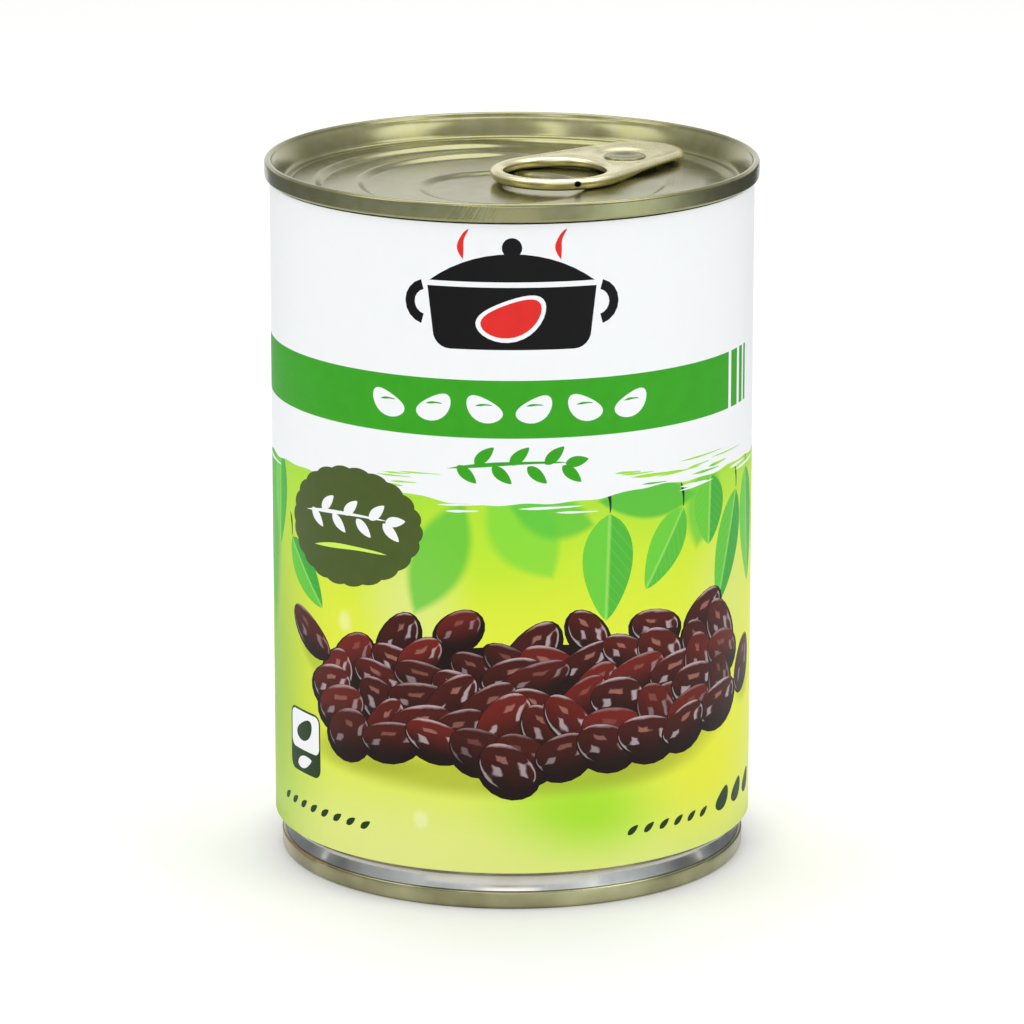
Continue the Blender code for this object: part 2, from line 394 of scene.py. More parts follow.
@dataclass(frozen=True)
class BareTinplate:
    """Uncoated tinplate of the drum: a cool silver mirror, dulled a little by handling."""

    name: str = "bright tinplate"
    light: str = "#D9D6D0"
    dark: str = "#B9B6AE"
    roughness: float = 0.16
    haze_size: float = 4.0

    def make(self) -> bpy.types.Material:
        """Build the material.

        Returns:
            The bare metal.
        """
        material, add = new_material(self.name)
        haze = add("TexNoise", add("TexCoord", out="Object"), 1 / (self.haze_size * MM), 5.0)
        shade = add("Mix", haze, self.dark, self.light, data_type="RGBA")
        rough = add("MapRange", haze, 0.3, 0.7, self.roughness, self.roughness * 1.6)
        metal = {"Base Color": shade, "Metallic": 1.0, "Roughness": rough}
        add("OutputMaterial", add("BsdfPrincipled", sockets=metal))
        return material


@dataclass(frozen=True)
class FlakedLacquer:
    """Flakes of lacquer and rust that a knocked seam sheds, dull and warm."""

    name: str = "flaked gold lacquer"
    light: str = "#D0A858"
    dark: str = "#8A5A2C"
    cloud_size: float = 3.0

    def make(self) -> bpy.types.Material:
        """Build the material.

        Returns:
            The flaked lacquer.
        """
        material, add = new_material(self.name)
        cloud = add("TexNoise", add("TexCoord", out="Object"), 1 / (self.cloud_size * MM), 2.0)
        shade = add("Mix", cloud, self.dark, self.light, data_type="RGBA")
        add("OutputMaterial", add("BsdfPrincipled", Roughness=0.5, sockets={"Base Color": shade}))
        return material


class Ink(Enum):
    """What a place on the printed sheet is covered with."""

    FIELD = 0
    WHITE = 1
    GREEN = 2
    BLACK = 3
    RED = 4
    OLIVE = 5
    LIME = 6
    FOREST = 7
    LEAF = 8
    BEAN = 9
    SHADE = 10
    CORE = 11


def coated_paper(add: Adder, colour: Socket, gloss: float = 0.45) -> None:
    """Finish a tree as half-gloss coated label paper over a given colour.

    Args:
        add: the function that adds nodes.
        colour: the printed colour.
        gloss: the mean roughness of the varnish.
    """
    sheet = add("UVMap", uv_map="sheet")
    # The varnish's waver, in waves per millimetre of the sheet
    fibre = add("TexNoise", sheet, 1.6, 3.0)
    rough = add("MapRange", fibre, 0.3, 0.7, gloss * 0.92, gloss * 1.08)
    bump = add("Bump", Strength=0.05, Distance=0.02 * MM, Height=fibre)
    paper = {"Base Color": colour, "Roughness": rough, "Normal": bump, "Specular IOR Level": 0.14}
    add("OutputMaterial", add("BsdfPrincipled", sockets=paper))


@dataclass(frozen=True)
class PrintedInk:
    """One flat offset ink on coated paper, with the slight mottle of a solid print."""

    name: str
    colour: str
    mottle: float = 0.04

    def make(self) -> bpy.types.Material:
        """Build the material.

        Returns:
            The printed paper.
        """
        material, add = new_material(self.name)
        cloud = add("TexNoise", add("UVMap", uv_map="sheet"), 0.35, 4.0)
        value = add("MapRange", cloud, 0.3, 0.7, 1 - self.mottle, 1 + self.mottle)
        coated_paper(add, add("HueSaturation", Value=value, Color=self.colour))
        return material


@dataclass(frozen=True)
class SoftMark:
    """A blurred oval or leaf in the printed field, in sheet millimetres and degrees."""

    colour: str
    place: Point
    half: Point
    turn: float = 0.0
    blur: float = 0.9
    strength: float = 1.0
    leaf: bool = False


@dataclass(frozen=True)
class LimeField:
    """The printed yellow-green field with out-of-focus leaves and patches of light.

    Its colours run from lime under the white to pale yellow at the foot, as a blurred photo does.
    """

    name: str = "lime printed paper"
    levels: tuple = (
        (6.0, "#DCE97E"), (13.0, "#D8E86A"), (24.0, "#DFE83C"),
        (42.0, "#DEE93E"), (54.0, "#CBE734"), (66.0, "#9FDC38"),
    )
    marks: tuple[SoftMark, ...] = ()

    def soft_group(self) -> bpy.types.NodeTree:
        """Build the group that lays one blurred mark over a colour.

        Returns:
            The node group.
        """
        inputs = {"Under": "Color", "Sheet": "Vector", "Ink": "Color", "Place": "Vector", "Half": "Vector"}
        inputs |= {"Turn": "Float", "Blur": "Float", "Strength": "Float", "Leaf": "Float"}
        tree, add, given = new_group("soft printed mark", "Shader", inputs, "Color")
        moved = add("VectorMath", given["Sheet"], given["Place"], operation="SUBTRACT")
        turned = add("VectorRotate", Vector=moved, Angle=given["Turn"], rotation_type="Z_AXIS")
        local = add("VectorMath", turned, given["Half"], operation="DIVIDE")
        axes = add("SeparateXYZ", local, out=None)
        oval = add("VectorMath", local, operation="LENGTH")
        oval = add("Math", 1.0, oval, operation="SUBTRACT")
        square = add("Math", axes[0], axes[0], operation="MULTIPLY")
        width = add("Math", 1.0, square, operation="SUBTRACT")
        across = add("Math", axes[1], operation="ABSOLUTE")
        pointed = add("Math", width, across, operation="SUBTRACT")
        depth = add("Mix", given["Leaf"], oval, pointed)
        low = add("Math", given["Blur"], -1.0, operation="MULTIPLY")
        amount = add("MapRange", depth, low, given["Blur"], 0.0, 1.0, interpolation_type="SMOOTHSTEP")
        amount = add("Math", amount, given["Strength"], operation="MULTIPLY")
        add("NodeGroupOutput", add("Mix", amount, given["Under"], given["Ink"], data_type="RGBA"))
        return tree

    def make(self) -> bpy.types.Material:
        """Build the material.

        Returns:
            The printed field.
        """
        material, add = new_material(self.name)
        sheet = add("UVMap", uv_map="sheet")
        height = add("SeparateXYZ", sheet, out=1)
        lowest, highest = self.levels[0][0], self.levels[-1][0]
        part = add("MapRange", height, lowest, highest)
        stops = [((level - lowest) / (highest - lowest), linear(code)) for level, code in self.levels]
        colour = add("ValToRGB", part, stops=stops)
        group = self.soft_group()
        for mark in self.marks:
            colour = add(
                "Group", node_tree=group, Under=colour, Sheet=sheet, Ink=mark.colour,
                Place=(*mark.place, 0.0), Half=(*mark.half, 1.0), Turn=-math.radians(mark.turn),
                Blur=mark.blur, Strength=mark.strength, Leaf=float(mark.leaf),
            )
        coated_paper(add, colour)
        return material


@dataclass(frozen=True)
class PrintedLeaf:
    """A printed green leaf: one lit half, one shaded half, a pale midrib and side veins."""

    name: str = "leaf printed paper"
    light: str = "#6CCB3A"
    dark: str = "#2B9E37"
    rib: str = "#A6E36A"
    veins: float = 9.0

    def make(self) -> bpy.types.Material:
        """Build the material.

        Returns:
            The printed leaf.
        """
        material, add = new_material(self.name)
        axes = add("SeparateXYZ", add("UVMap", uv_map="print"), out=None)
        tone = add("Attribute", attribute_name="tone", out="Fac")
        half = add("MapRange", axes[1], -0.05, 0.05, 0.75, 0.1, interpolation_type="SMOOTHSTEP")
        lit = add("Math", half, tone, operation="ADD")
        across = add("Math", axes[1], operation="ABSOLUTE")
        slope = add("Math", across, -0.55, axes[0], operation="MULTIPLY_ADD")
        wave = add("Math", slope, self.veins * math.tau / 2, operation="MULTIPLY")
        wave = add("Math", wave, operation="SINE")
        vein = add("MapRange", wave, 0.75, 1.0, 0.0, 0.22)
        lit = add("Math", lit, vein, operation="ADD")
        colour = add("Mix", lit, self.dark, self.light, data_type="RGBA", clamp_factor=True)
        rib = add("MapRange", across, 0.03, 0.1, 0.6, 0.0)
        coated_paper(add, add("Mix", rib, colour, self.rib, data_type="RGBA"))
        return material


@dataclass(frozen=True)
class PrintedBean:
    """A printed glossy black bean, shaded as a smooth ellipsoid under a window and two strips.

    Everything is worked out from the bean's own coordinates in the print, so it stays put.
    """

    name: str = "bean printed paper"
    black: str = "#1E0D0A"
    maroon: str = "#40150F"
    red: str = "#721F16"
    window: str = "#A06A5E"
    strip: str = "#D8C6CC"
    slimness: float = 0.62
    edge: float = 0.06

    def make(self) -> bpy.types.Material:
        """Build the material.

        Returns:
            The printed bean.
        """
        material, add = new_material(self.name)
        local = add("UVMap", uv_map="print")
        tone = add("Attribute", attribute_name="tone", out="Fac")
        turn = add("Attribute", attribute_name="turn", out="Fac")
        square = add("VectorMath", local, local, operation="DOT_PRODUCT")
        rest = add("Math", 1.0, square, operation="SUBTRACT")
        rest = add("Math", rest, 0.0, operation="MAXIMUM")
        up = add("Math", rest, operation="SQRT")
        slim = add("VectorMath", local, (self.slimness, 1.0, 0.0), operation="MULTIPLY")
        lifted = add("CombineXYZ", 0.0, 0.0, up)
        normal = add("VectorMath", slim, lifted, operation="ADD")
        normal = add("VectorMath", normal, operation="NORMALIZE")
        normal = add("VectorRotate", Vector=normal, Angle=turn, rotation_type="Z_AXIS")
        ripple = add("TexNoise", add("UVMap", uv_map="sheet"), 0.45, 2.0, out="Color")
        ripple = add("VectorMath", ripple, (-0.5, -0.5, -0.5), operation="ADD")
        ripple = add("VectorMath", ripple, 0.35, operation="SCALE")
        normal = add("VectorMath", normal, ripple, operation="ADD")
        normal = add("VectorMath", normal, operation="NORMALIZE")
        facing = add("SeparateXYZ", normal, out=None)
        double = add("Math", facing[2], 2.0, operation="MULTIPLY")
        bounce = add("VectorMath", normal, double, operation="SCALE")
        bounce = add("VectorMath", bounce, (0.0, 0.0, -1.0), operation="ADD")
        seen = add("SeparateXYZ", bounce, out=None)
        glow = add("MapRange", facing[1], -0.9, 0.6, 0.0, 1.0, interpolation_type="SMOOTHSTEP")
        warm = add("Mix", tone, self.maroon, self.red, data_type="RGBA")
        colour = add("Mix", glow, self.black, warm, data_type="RGBA")
        # Beans differ in how much they shine, by a number made from their turn
        chance = add("Math", turn, 7.3, 9.0, operation="MULTIPLY_ADD")
        chance = add("Math", chance, operation="FRACT")
        chance = add("MapRange", chance, 0.0, 0.6, 0.2, 1.0)
        for across, upward, code, strength in (
            ((seen[0], -0.1, 0.26), (seen[1], 0.62, 0.17), self.window, 0.8),
            ((seen[0], -0.55, 0.16), (seen[1], -0.35, 0.3), self.strip, 0.5),
            ((seen[0], 0.75, 0.12), (seen[1], 0.1, 0.4), self.strip, 0.55),
        ):
            mask = self.patch(add, (across, upward), strength)
            mask = add("Math", mask, chance, operation="MULTIPLY")
            colour = add("Mix", mask, colour, code, data_type="RGBA")
        rim = add("MapRange", facing[1], 0.8, 0.93, 0.0, 0.5)
        rim = add("Math", rim, chance, operation="MULTIPLY")
        coated_paper(add, add("Mix", rim, colour, self.strip, data_type="RGBA"))
        return material

    def patch(self, add: Adder, spans: tuple[tuple[Socket, float, float], ...], strength: float) -> Socket:
        """Mask of one printed reflection with crisp edges.

        Args:
            add: the function that adds nodes.
            spans: parts of the mirrored direction, each with its middle and half its width.
            strength: the mask's highest value.

        Returns:
            The mask's socket.
        """
        mask = None
        for value, middle, half in spans:
            away = add("Math", value, middle, operation="SUBTRACT")
            away = add("Math", away, operation="ABSOLUTE")
            low, high = half - self.edge, half + self.edge
            inside = add("MapRange", away, low, high, 1.0, 0.0, interpolation_type="SMOOTHSTEP")
            mask = add("Math", mask, inside, operation="MULTIPLY") if mask else inside
        return add("Math", mask, strength, operation="MULTIPLY")


# Outlines of the print


@dataclass
class PrintShape:
    """One crisp shape of the print, in sheet millimetres from the front middle and the table."""

    ink: Ink
    outline: list[Point]
    place: Point = (0.0, 0.0)
    turn: float = 0.0
    half: Point = (1.0, 1.0)
    bend: float = 0.0
    tone: float = 0.0

    def local(self, point: Point) -> Point:
        """The point in the shape's own coordinates, from -1 to 1 along each side."""
        away = (point[0] - self.place[0], point[1] - self.place[1])
        cos, sin = math.cos(self.turn), math.sin(self.turn)
        along = (away[0] * cos + away[1] * sin) / self.half[0]
        across = (away[1] * cos - away[0] * sin) / self.half[1]
        return along, across - self.bend * (along * along - 0.4)


def placed(points: list[Point], place: Point, turn: float = 0.0) -> list[Point]:
    """Turn points about the origin, angle in radians, and move them to a place."""
    cos, sin = math.cos(turn), math.sin(turn)
    return [(place[0] + x * cos - y * sin, place[1] + x * sin + y * cos) for x, y in points]


def bean_shape(
    ink: Ink, place: Point, half: Point, turn: float = 0.0, bend: float = 0.12, tone: float = 0.0,
    count: int = 30,
) -> PrintShape:
    """A kidney-shaped oval.

    Args:
        ink: what it is printed with.
        place: its middle.
        half: half its length and half its width.
        turn: its angle in radians.
        bend: how far its ends bow, as a share of the half width.
        tone: its shade from 0 to 1.
        count: the points of its outline.

    Returns:
        The shape.
    """
    points = []
    for along, across in oval_points(0.0, 1.0, 1.0, count):
        points.append((half[0] * along, half[1] * (across + bend * (along * along - 0.4))))
    return PrintShape(ink, placed(points, place, turn), place, turn, half, bend, tone)


def leaf_shape(
    ink: Ink, place: Point, half: Point, turn: float = 0.0, tone: float = 0.0, count: int = 14
) -> PrintShape:
    """A pointed leaf, fuller towards its stalk.

    Args:
        ink: what it is printed with.
        place: its middle.
        half: half its length and half its width.
        turn: its angle in radians, the tip at the far end.
        tone: its shade from 0 to 1.
        count: the points along each side.

    Returns:
        The shape.
    """
    upper = []
    for step in range(count + 1):
        along = -1 + 2 * step / count
        width = max(1 - along * along, 0.0) ** 0.75 * (1 - 0.28 * along)
        upper.append((half[0] * along, half[1] * width))
    points = [(x, -y) for x, y in upper] + upper[-2:0:-1]
    return PrintShape(ink, placed(points, place, turn), place, turn, half, 0.0, tone)


def box_shape(ink: Ink, low: Point, high: Point, corner: float = 0.0) -> PrintShape:
    """A box with square or round corners.

    Args:
        ink: what it is printed with.
        low: its lower left corner.
        high: its upper right corner.
        corner: the radius of its corners, 0 for square ones.

    Returns:
        The shape.
    """
    if corner <= 0:
        return PrintShape(ink, [low, (high[0], low[1]), high, (low[0], high[1])])
    left, right = low[0] + corner, high[0] - corner
    foot, top = low[1] + corner, high[1] - corner
    points = []
    for number, centre in enumerate(((right, foot), (right, top), (left, top), (left, foot))):
        points += arc_points(centre, corner, 90 * number - 90, 90 * number, 5)
    return PrintShape(ink, points)


def stroke_shape(ink: Ink, start: Point, end: Point, width: float, bow: float = 0.0) -> PrintShape:
    """A brush stroke that tapers to both ends and may bow.

    Args:
        ink: what it is printed with.
        start: one end.
        end: the other end.
        width: its greatest width.
        bow: how far its middle lies off the straight line.

    Returns:
        The shape.
    """
    length = math.dist(start, end)
    turn = math.atan2(end[1] - start[1], end[0] - start[0])
    count = 12
    upper, lower = [], []
    for step in range(count + 1):
        part = step / count
        lift = bow * 4 * part * (1 - part)
        thick = width / 2 * math.sin(math.pi * part) ** 0.7 * (1 + 0.25 * math.sin(7 * part))
        upper.append((length * part, lift + thick))
        lower.append((length * part, lift - thick))
    return PrintShape(ink, placed(lower + upper[-2:0:-1], start, turn))


@dataclass
class LabelPrint:
    """The design of the paper label, drawn flat in sheet millimetres."""

    half_length: float = math.pi * LABEL_RADIUS + 3.5
    band: Point = (72.9, 81.6)
    band_ends: Point = (-78.0, 39.7)
    white_foot: float = 64.0
    seed: int = 11
    shapes: list[PrintShape] = field(default_factory=list)

    def lay(self, *shapes: PrintShape) -> None:
        """Lay shapes over what is drawn so far."""
        self.shapes.extend(shapes)

    def foot(self, place: float) -> float:
        """Height of the white field's lower edge at a place along the sheet."""
        dip = 1.3 * math.exp(-((place / 13.0) ** 2))
        waver = 0.22 * math.sin(place * 0.31 + 1.0) + 0.12 * math.sin(place * 0.83)
        return self.white_foot - dip + waver

    def draw(self) -> list[PrintShape]:
        """Draw every shape from the lowest layer to the highest.

        Returns:
            The shapes in order.
        """
        self.shapes.clear()
        low, high = (-self.half_length, LABEL_BOTTOM), (self.half_length, LABEL_TOP)
        self.lay(box_shape(Ink.FIELD, low, high))
        self.draw_leaves()
        self.draw_white_field()
        self.draw_band()
        self.draw_emblem((0.0, 93.4), 1.0)
        self.draw_sprig((-0.2, 68.6), 1.0)
        self.draw_badge((-27.0, 57.2))
        self.draw_heap()
        self.draw_box((-42.4, 16.2), (-33.4, 26.2))
        self.draw_friezes()
        self.draw_back()
        return self.shapes

    def draw_white_field(self) -> None:
        """White upper field with a brushed lower edge."""
        steps = 240
        places = [-self.half_length + 2 * self.half_length * step / steps for step in range(steps + 1)]
        edge = [(place, self.foot(place)) for place in places]
        corners = [(self.half_length, LABEL_TOP), (-self.half_length, LABEL_TOP)]
        self.lay(PrintShape(Ink.WHITE, edge + corners))
        rng = random.Random(self.seed)
        for middle in (-92, -70, -16, 21, 33, 64, 98):
            for row in range(5):
                start = middle + rng.uniform(-6, 2)
                length = rng.uniform(4, 11)
                height = self.foot(start) + (0.7 + 0.62 * row + rng.uniform(-0.1, 0.1))
                end = (start + length, height + rng.uniform(-0.3, 0.3))
                self.lay(stroke_shape(Ink.FIELD, (start, height), end, rng.uniform(0.2, 0.5)))
        for middle in (-96, -58, -11, 4, 27, 40, 76):
            for row in range(2):
                start = middle + rng.uniform(-5, 3)
                length = rng.uniform(5, 12)
                height = self.foot(start) - 0.75 - 0.6 * row
                end = (start + length, height + rng.uniform(-0.2, 0.5))
                self.lay(stroke_shape(Ink.WHITE, (start, height), end, rng.uniform(0.25, 0.5)))

    def draw_band(self) -> None:
        """Green band with a row of white beans, ended by thinner bars on both sides."""
        low, high = self.band
        left, right = self.band_ends
        self.lay(box_shape(Ink.GREEN, (left, low), (right, high)))
        for near, far in ((0.9, 3.1), (4.0, 5.3), (6.0, 6.9)):
            self.lay(box_shape(Ink.GREEN, (right + near, low), (right + far, high)))
            self.lay(box_shape(Ink.GREEN, (left - far, low), (left - near, high)))
        middle = (low + high) / 2
        for number in range(6):
            place = (number - 2.5) * 7.5
            turn = math.radians(28 if number % 2 else -28)
            self.lay(bean_shape(Ink.WHITE, (place - 0.4, middle), (2.9, 1.75), turn, 0.3, 0.0, 26))
            start, end = (place - 1.7, middle + 0.5), (place + 0.9, middle + 0.6)
            self.lay(stroke_shape(Ink.GREEN, start, end, 0.32, 0.15))

    def draw_emblem(self, place: Point, scale: float) -> None:
        """A black cooking pot with a red bean on it and red steam.

        Args:
            place: its middle.
            scale: its size.
        """

        def at(points: list[Point]) -> list[Point]:
            """Set points of the pot in their place on the sheet."""
            return [(place[0] + x * scale, place[1] + y * scale) for x, y in points]

        belly = arc_points((-9.2, -4.6), 2.6, 180, 270, 6) + arc_points((9.2, -4.6), 2.6, 270, 360, 6)
        handle = arc_points((12.7, -0.4), 3.4, -75, 75, 8) + arc_points((12.7, -0.4), 1.9, 75, -75, 8)
        lid = [(x, max(y, 2.9)) for x, y in arc_points((0.0, -12.9), 20.0, 52, 128, 14)]
        knob = arc_points((0.0, 8.0), 1.5, 0, 345, 16)
        mirrored = [(-x, y) for x, y in handle][::-1]
        for part in (belly + [(12.6, 2.1), (-12.6, 2.1)], mirrored, handle, lid, knob):
            self.lay(PrintShape(Ink.BLACK, at(part)))
        middle = (place[0], place[1] - 2.5 * scale)
        for ink, length, width in ((Ink.WHITE, 5.4, 3.1), (Ink.RED, 4.7, 2.5)):
            self.lay(bean_shape(ink, middle, (length * scale, width * scale), 0.35, 0.3))
        for side in (-7.2, 7.2):
            low, high = at([(side, 6.2), (side + 0.9, 10.8)])
            self.lay(stroke_shape(Ink.RED, low, high, 0.95 * scale, 0.8 * scale))

    def draw_sprig(self, place: Point, scale: float, ink: Ink = Ink.GREEN) -> None:
        """A sprig with seven leaves and a tip, as it lies along the white field.

        Args:
            place: its middle.
            scale: its size.
            ink: what it is printed with.
        """
        start, end = (place[0] - 9.6 * scale, place[1] - 0.5), (place[0] + 8.6 * scale, place[1] + 0.5)
        self.lay(stroke_shape(ink, start, end, 0.6 * scale, 0.5 * scale))
        for number in range(7):
            along = -7.6 + 2.6 * number
            side = 1 if number % 2 else -1
            middle = (place[0] + (along + 1.1) * scale, place[1] + (0.2 + side * 1.45) * scale)
            self.lay(leaf_shape(ink, middle, (1.95 * scale, 0.85 * scale), math.radians(side * 42)))
        tip = (place[0] + 9.9 * scale, place[1] + 0.6 * scale)
        self.lay(leaf_shape(ink, tip, (1.8 * scale, 0.8 * scale), 0.15))

    def draw_leaves(self) -> None:
        """Crisp leaves that hang into the lime field, on the front and on the back."""
        leaves = (
            (14.6, 52.6, 8.2, 4.0, -92, 0.35), (24.6, 54.2, 6.8, 3.1, -122, 0.5),
            (34.4, 58.4, 5.4, 3.7, -92, 0.15), (39.8, 51.4, 9.0, 3.6, -110, 0.0),
            (48.5, 53.0, 9.4, 3.6, -84, 0.15), (-37.0, 48.0, 6.4, 2.9, -46, 0.05),
            (-46.5, 58.0, 8.0, 3.0, -93, 0.2), (58.0, 56.0, 8.4, 3.2, -75, 0.3),
            (-62.0, 56.0, 8.0, 3.4, -104, 0.4), (-72.0, 58.5, 6.8, 2.8, -80, 0.2),
            (-108.0, 57.0, 7.4, 3.0, -98, 0.3),
        )
        for place, height, length, width, turn, tone in leaves:
            stalk = math.radians(turn)
            root = (place - length * math.cos(stalk), height - length * math.sin(stalk))
            self.lay(stroke_shape(Ink.FOREST, (root[0] - 0.6, root[1] + 4.0), root, 0.5, 0.3))
            self.lay(leaf_shape(Ink.LEAF, (place, height), (length, width), stalk, tone, 16))

    def draw_badge(self, place: Point) -> None:
        """A dark olive seal with a scalloped edge, a white sprig and a lime line.

        Args:
            place: its middle.
        """
        scallops = 22
        points = []
        for step in range(scallops * 6):
            angle = math.tau * step / (scallops * 6)
            bulge = 1 + 0.035 * abs(math.sin(scallops / 2 * angle)) ** 0.8
            points.append((13.2 * bulge * math.cos(angle), 8.9 * bulge * math.sin(angle)))
        self.lay(PrintShape(Ink.OLIVE, placed(points, place, math.radians(8))))
        self.draw_sprig((place[0] - 0.4, place[1] + 1.4), 0.95, Ink.WHITE)
        start, end = (place[0] - 7.4, place[1] - 4.1), (place[0] + 7.6, place[1] - 3.3)
        self.lay(stroke_shape(Ink.LIME, start, end, 0.75, 0.5))

    def draw_heap(self) -> None:
        """A heap of beans, laid from the back row to the front, with two loose ones."""
        rng = random.Random(self.seed)
        back = ((-17.5, 41.6), (-8.0, 43.6), (3.0, 41.2), (12.0, 43.0), (23.0, 42.2), (33.5, 42.4))
        spots = [(place, height, 0.3) for place, height in back]
        rows = ((38.6, -25, 37), (35.2, -28, 39), (31.8, -29, 38), (28.6, -28, 36), (25.4, -27, 28))
        for height, low, high in rows:
            gaps = round((high - low) / 6.5)
            spots += [(low + (high - low) * number / gaps, height, 1.0) for number in range(gaps + 1)]
        spots.append((-1.0, 22.2, 0.2))
        beans = []
        for place, height, freedom in spots:
            place += rng.uniform(-1.7, 1.7) * freedom
            lift = height + rng.uniform(-1.3, 1.3) * freedom
            turn = rng.uniform(-0.85, 0.85) - 0.01 * place
            # Beans grow towards the front of the heap
            size = 0.88 + 0.17 * (44 - height) / 22
            half = (5.1 * size * rng.uniform(0.8, 1.06), 3.35 * size * rng.uniform(0.78, 1.06))
            beans.append((place, lift, half, turn, rng.uniform(0.04, 0.18), rng.random() ** 2))
        self.lay(bean_shape(Ink.SHADE, (4.0, 32.4), (30.0, 9.0), 0.0, 0.0, 0.0, 60))
        for place, lift, half, turn, bend, _ in beans:
            wider = (half[0] + 0.7, half[1] + 0.6)
            self.lay(bean_shape(Ink.SHADE, (place, lift - 0.5), wider, turn, bend, 0.0, 20))
        beans.append((-35.9, 39.0, (5.5, 2.6), -0.52, 0.1, 0.25))
        beans.append((46.6, 31.6, (4.6, 3.2), 1.0, 0.1, 0.1))
        for place, lift, half, turn, bend, tone in beans:
            rim = (half[0] + 0.22, half[1] + 0.2)
            self.lay(bean_shape(Ink.SHADE, (place, lift - 0.16), rim, turn, bend, 0.0, 24))
            self.lay(bean_shape(Ink.BEAN, (place, lift), half, turn, bend, tone, 32))

    def draw_box(self, low: Point, high: Point) -> None:
        """A small two-tone box with a bean above and a leaf below.

        Args:
            low: its lower left corner.
            high: its upper right corner.
        """
        edge, corner = 0.35, 1.5
        split = low[1] + 0.36 * (high[1] - low[1])
        inner_high = (high[0] - edge, high[1] - edge)
        middle = (low[0] + high[0]) / 2
        self.lay(
            box_shape(Ink.FOREST, low, high, corner),
            box_shape(Ink.WHITE, (low[0] + edge, split), inner_high, corner - edge),
            bean_shape(Ink.FOREST, (middle, (split + high[1]) / 2), (2.5, 1.45), 0.5, 0.3),
            leaf_shape(Ink.WHITE, (middle, (low[1] + split) / 2), (2.2, 0.95), 0.3),
        )

    def draw_friezes(self) -> None:
        """Rows of small dark leaves and beans near the foot."""
        for start, count in ((-44.0, 8), (19.0, 6)):
            for number in range(count):
                spot = (start + 2.9 * number, 11.3)
                self.lay(leaf_shape(Ink.FOREST, spot, (1.15, 0.5), math.radians(35), 0.0, 8))
        for number in range(3):
            spot = (39.0 + 5.3 * number, 11.9)
            self.lay(bean_shape(Ink.FOREST, spot, (2.3, 1.4), 0.6, 0.3, 0.0, 22))

    def draw_back(self) -> None:
        """The back: a ruled panel, a striped panel, a small pot and three sprigs."""
        self.lay(box_shape(Ink.WHITE, (66.0, 13.0), (101.0, 57.5), 2.0))
        self.lay(box_shape(Ink.GREEN, (68.0, 51.5), (99.0, 55.5), 0.8))
        for row in range(11):
            height = 48.6 - 3.1 * row
            self.lay(box_shape(Ink.FOREST, (68.0, height), (99.0, height + 0.22)))
        self.lay(box_shape(Ink.FOREST, (88.2, 17.6), (88.45, 48.8)))
        self.lay(box_shape(Ink.WHITE, (-103.0, 14.0), (-72.0, 36.0), 1.2))
        rng = random.Random(self.seed + 1)
        place = -100.0
        while place < -76.0:
            width = rng.choice((0.35, 0.35, 0.7, 1.05))
            self.lay(box_shape(Ink.BLACK, (place, 16.5), (place + width, 33.5)))
            place += width + rng.choice((0.45, 0.7, 1.0))
        self.draw_emblem((84.0, 93.0), 0.7)
        self.draw_sprig((-92.0, 45.0), 1.3)
        self.draw_sprig((84.0, 68.9), 0.9)
        self.draw_sprig((-90.0, 92.0), 1.2)


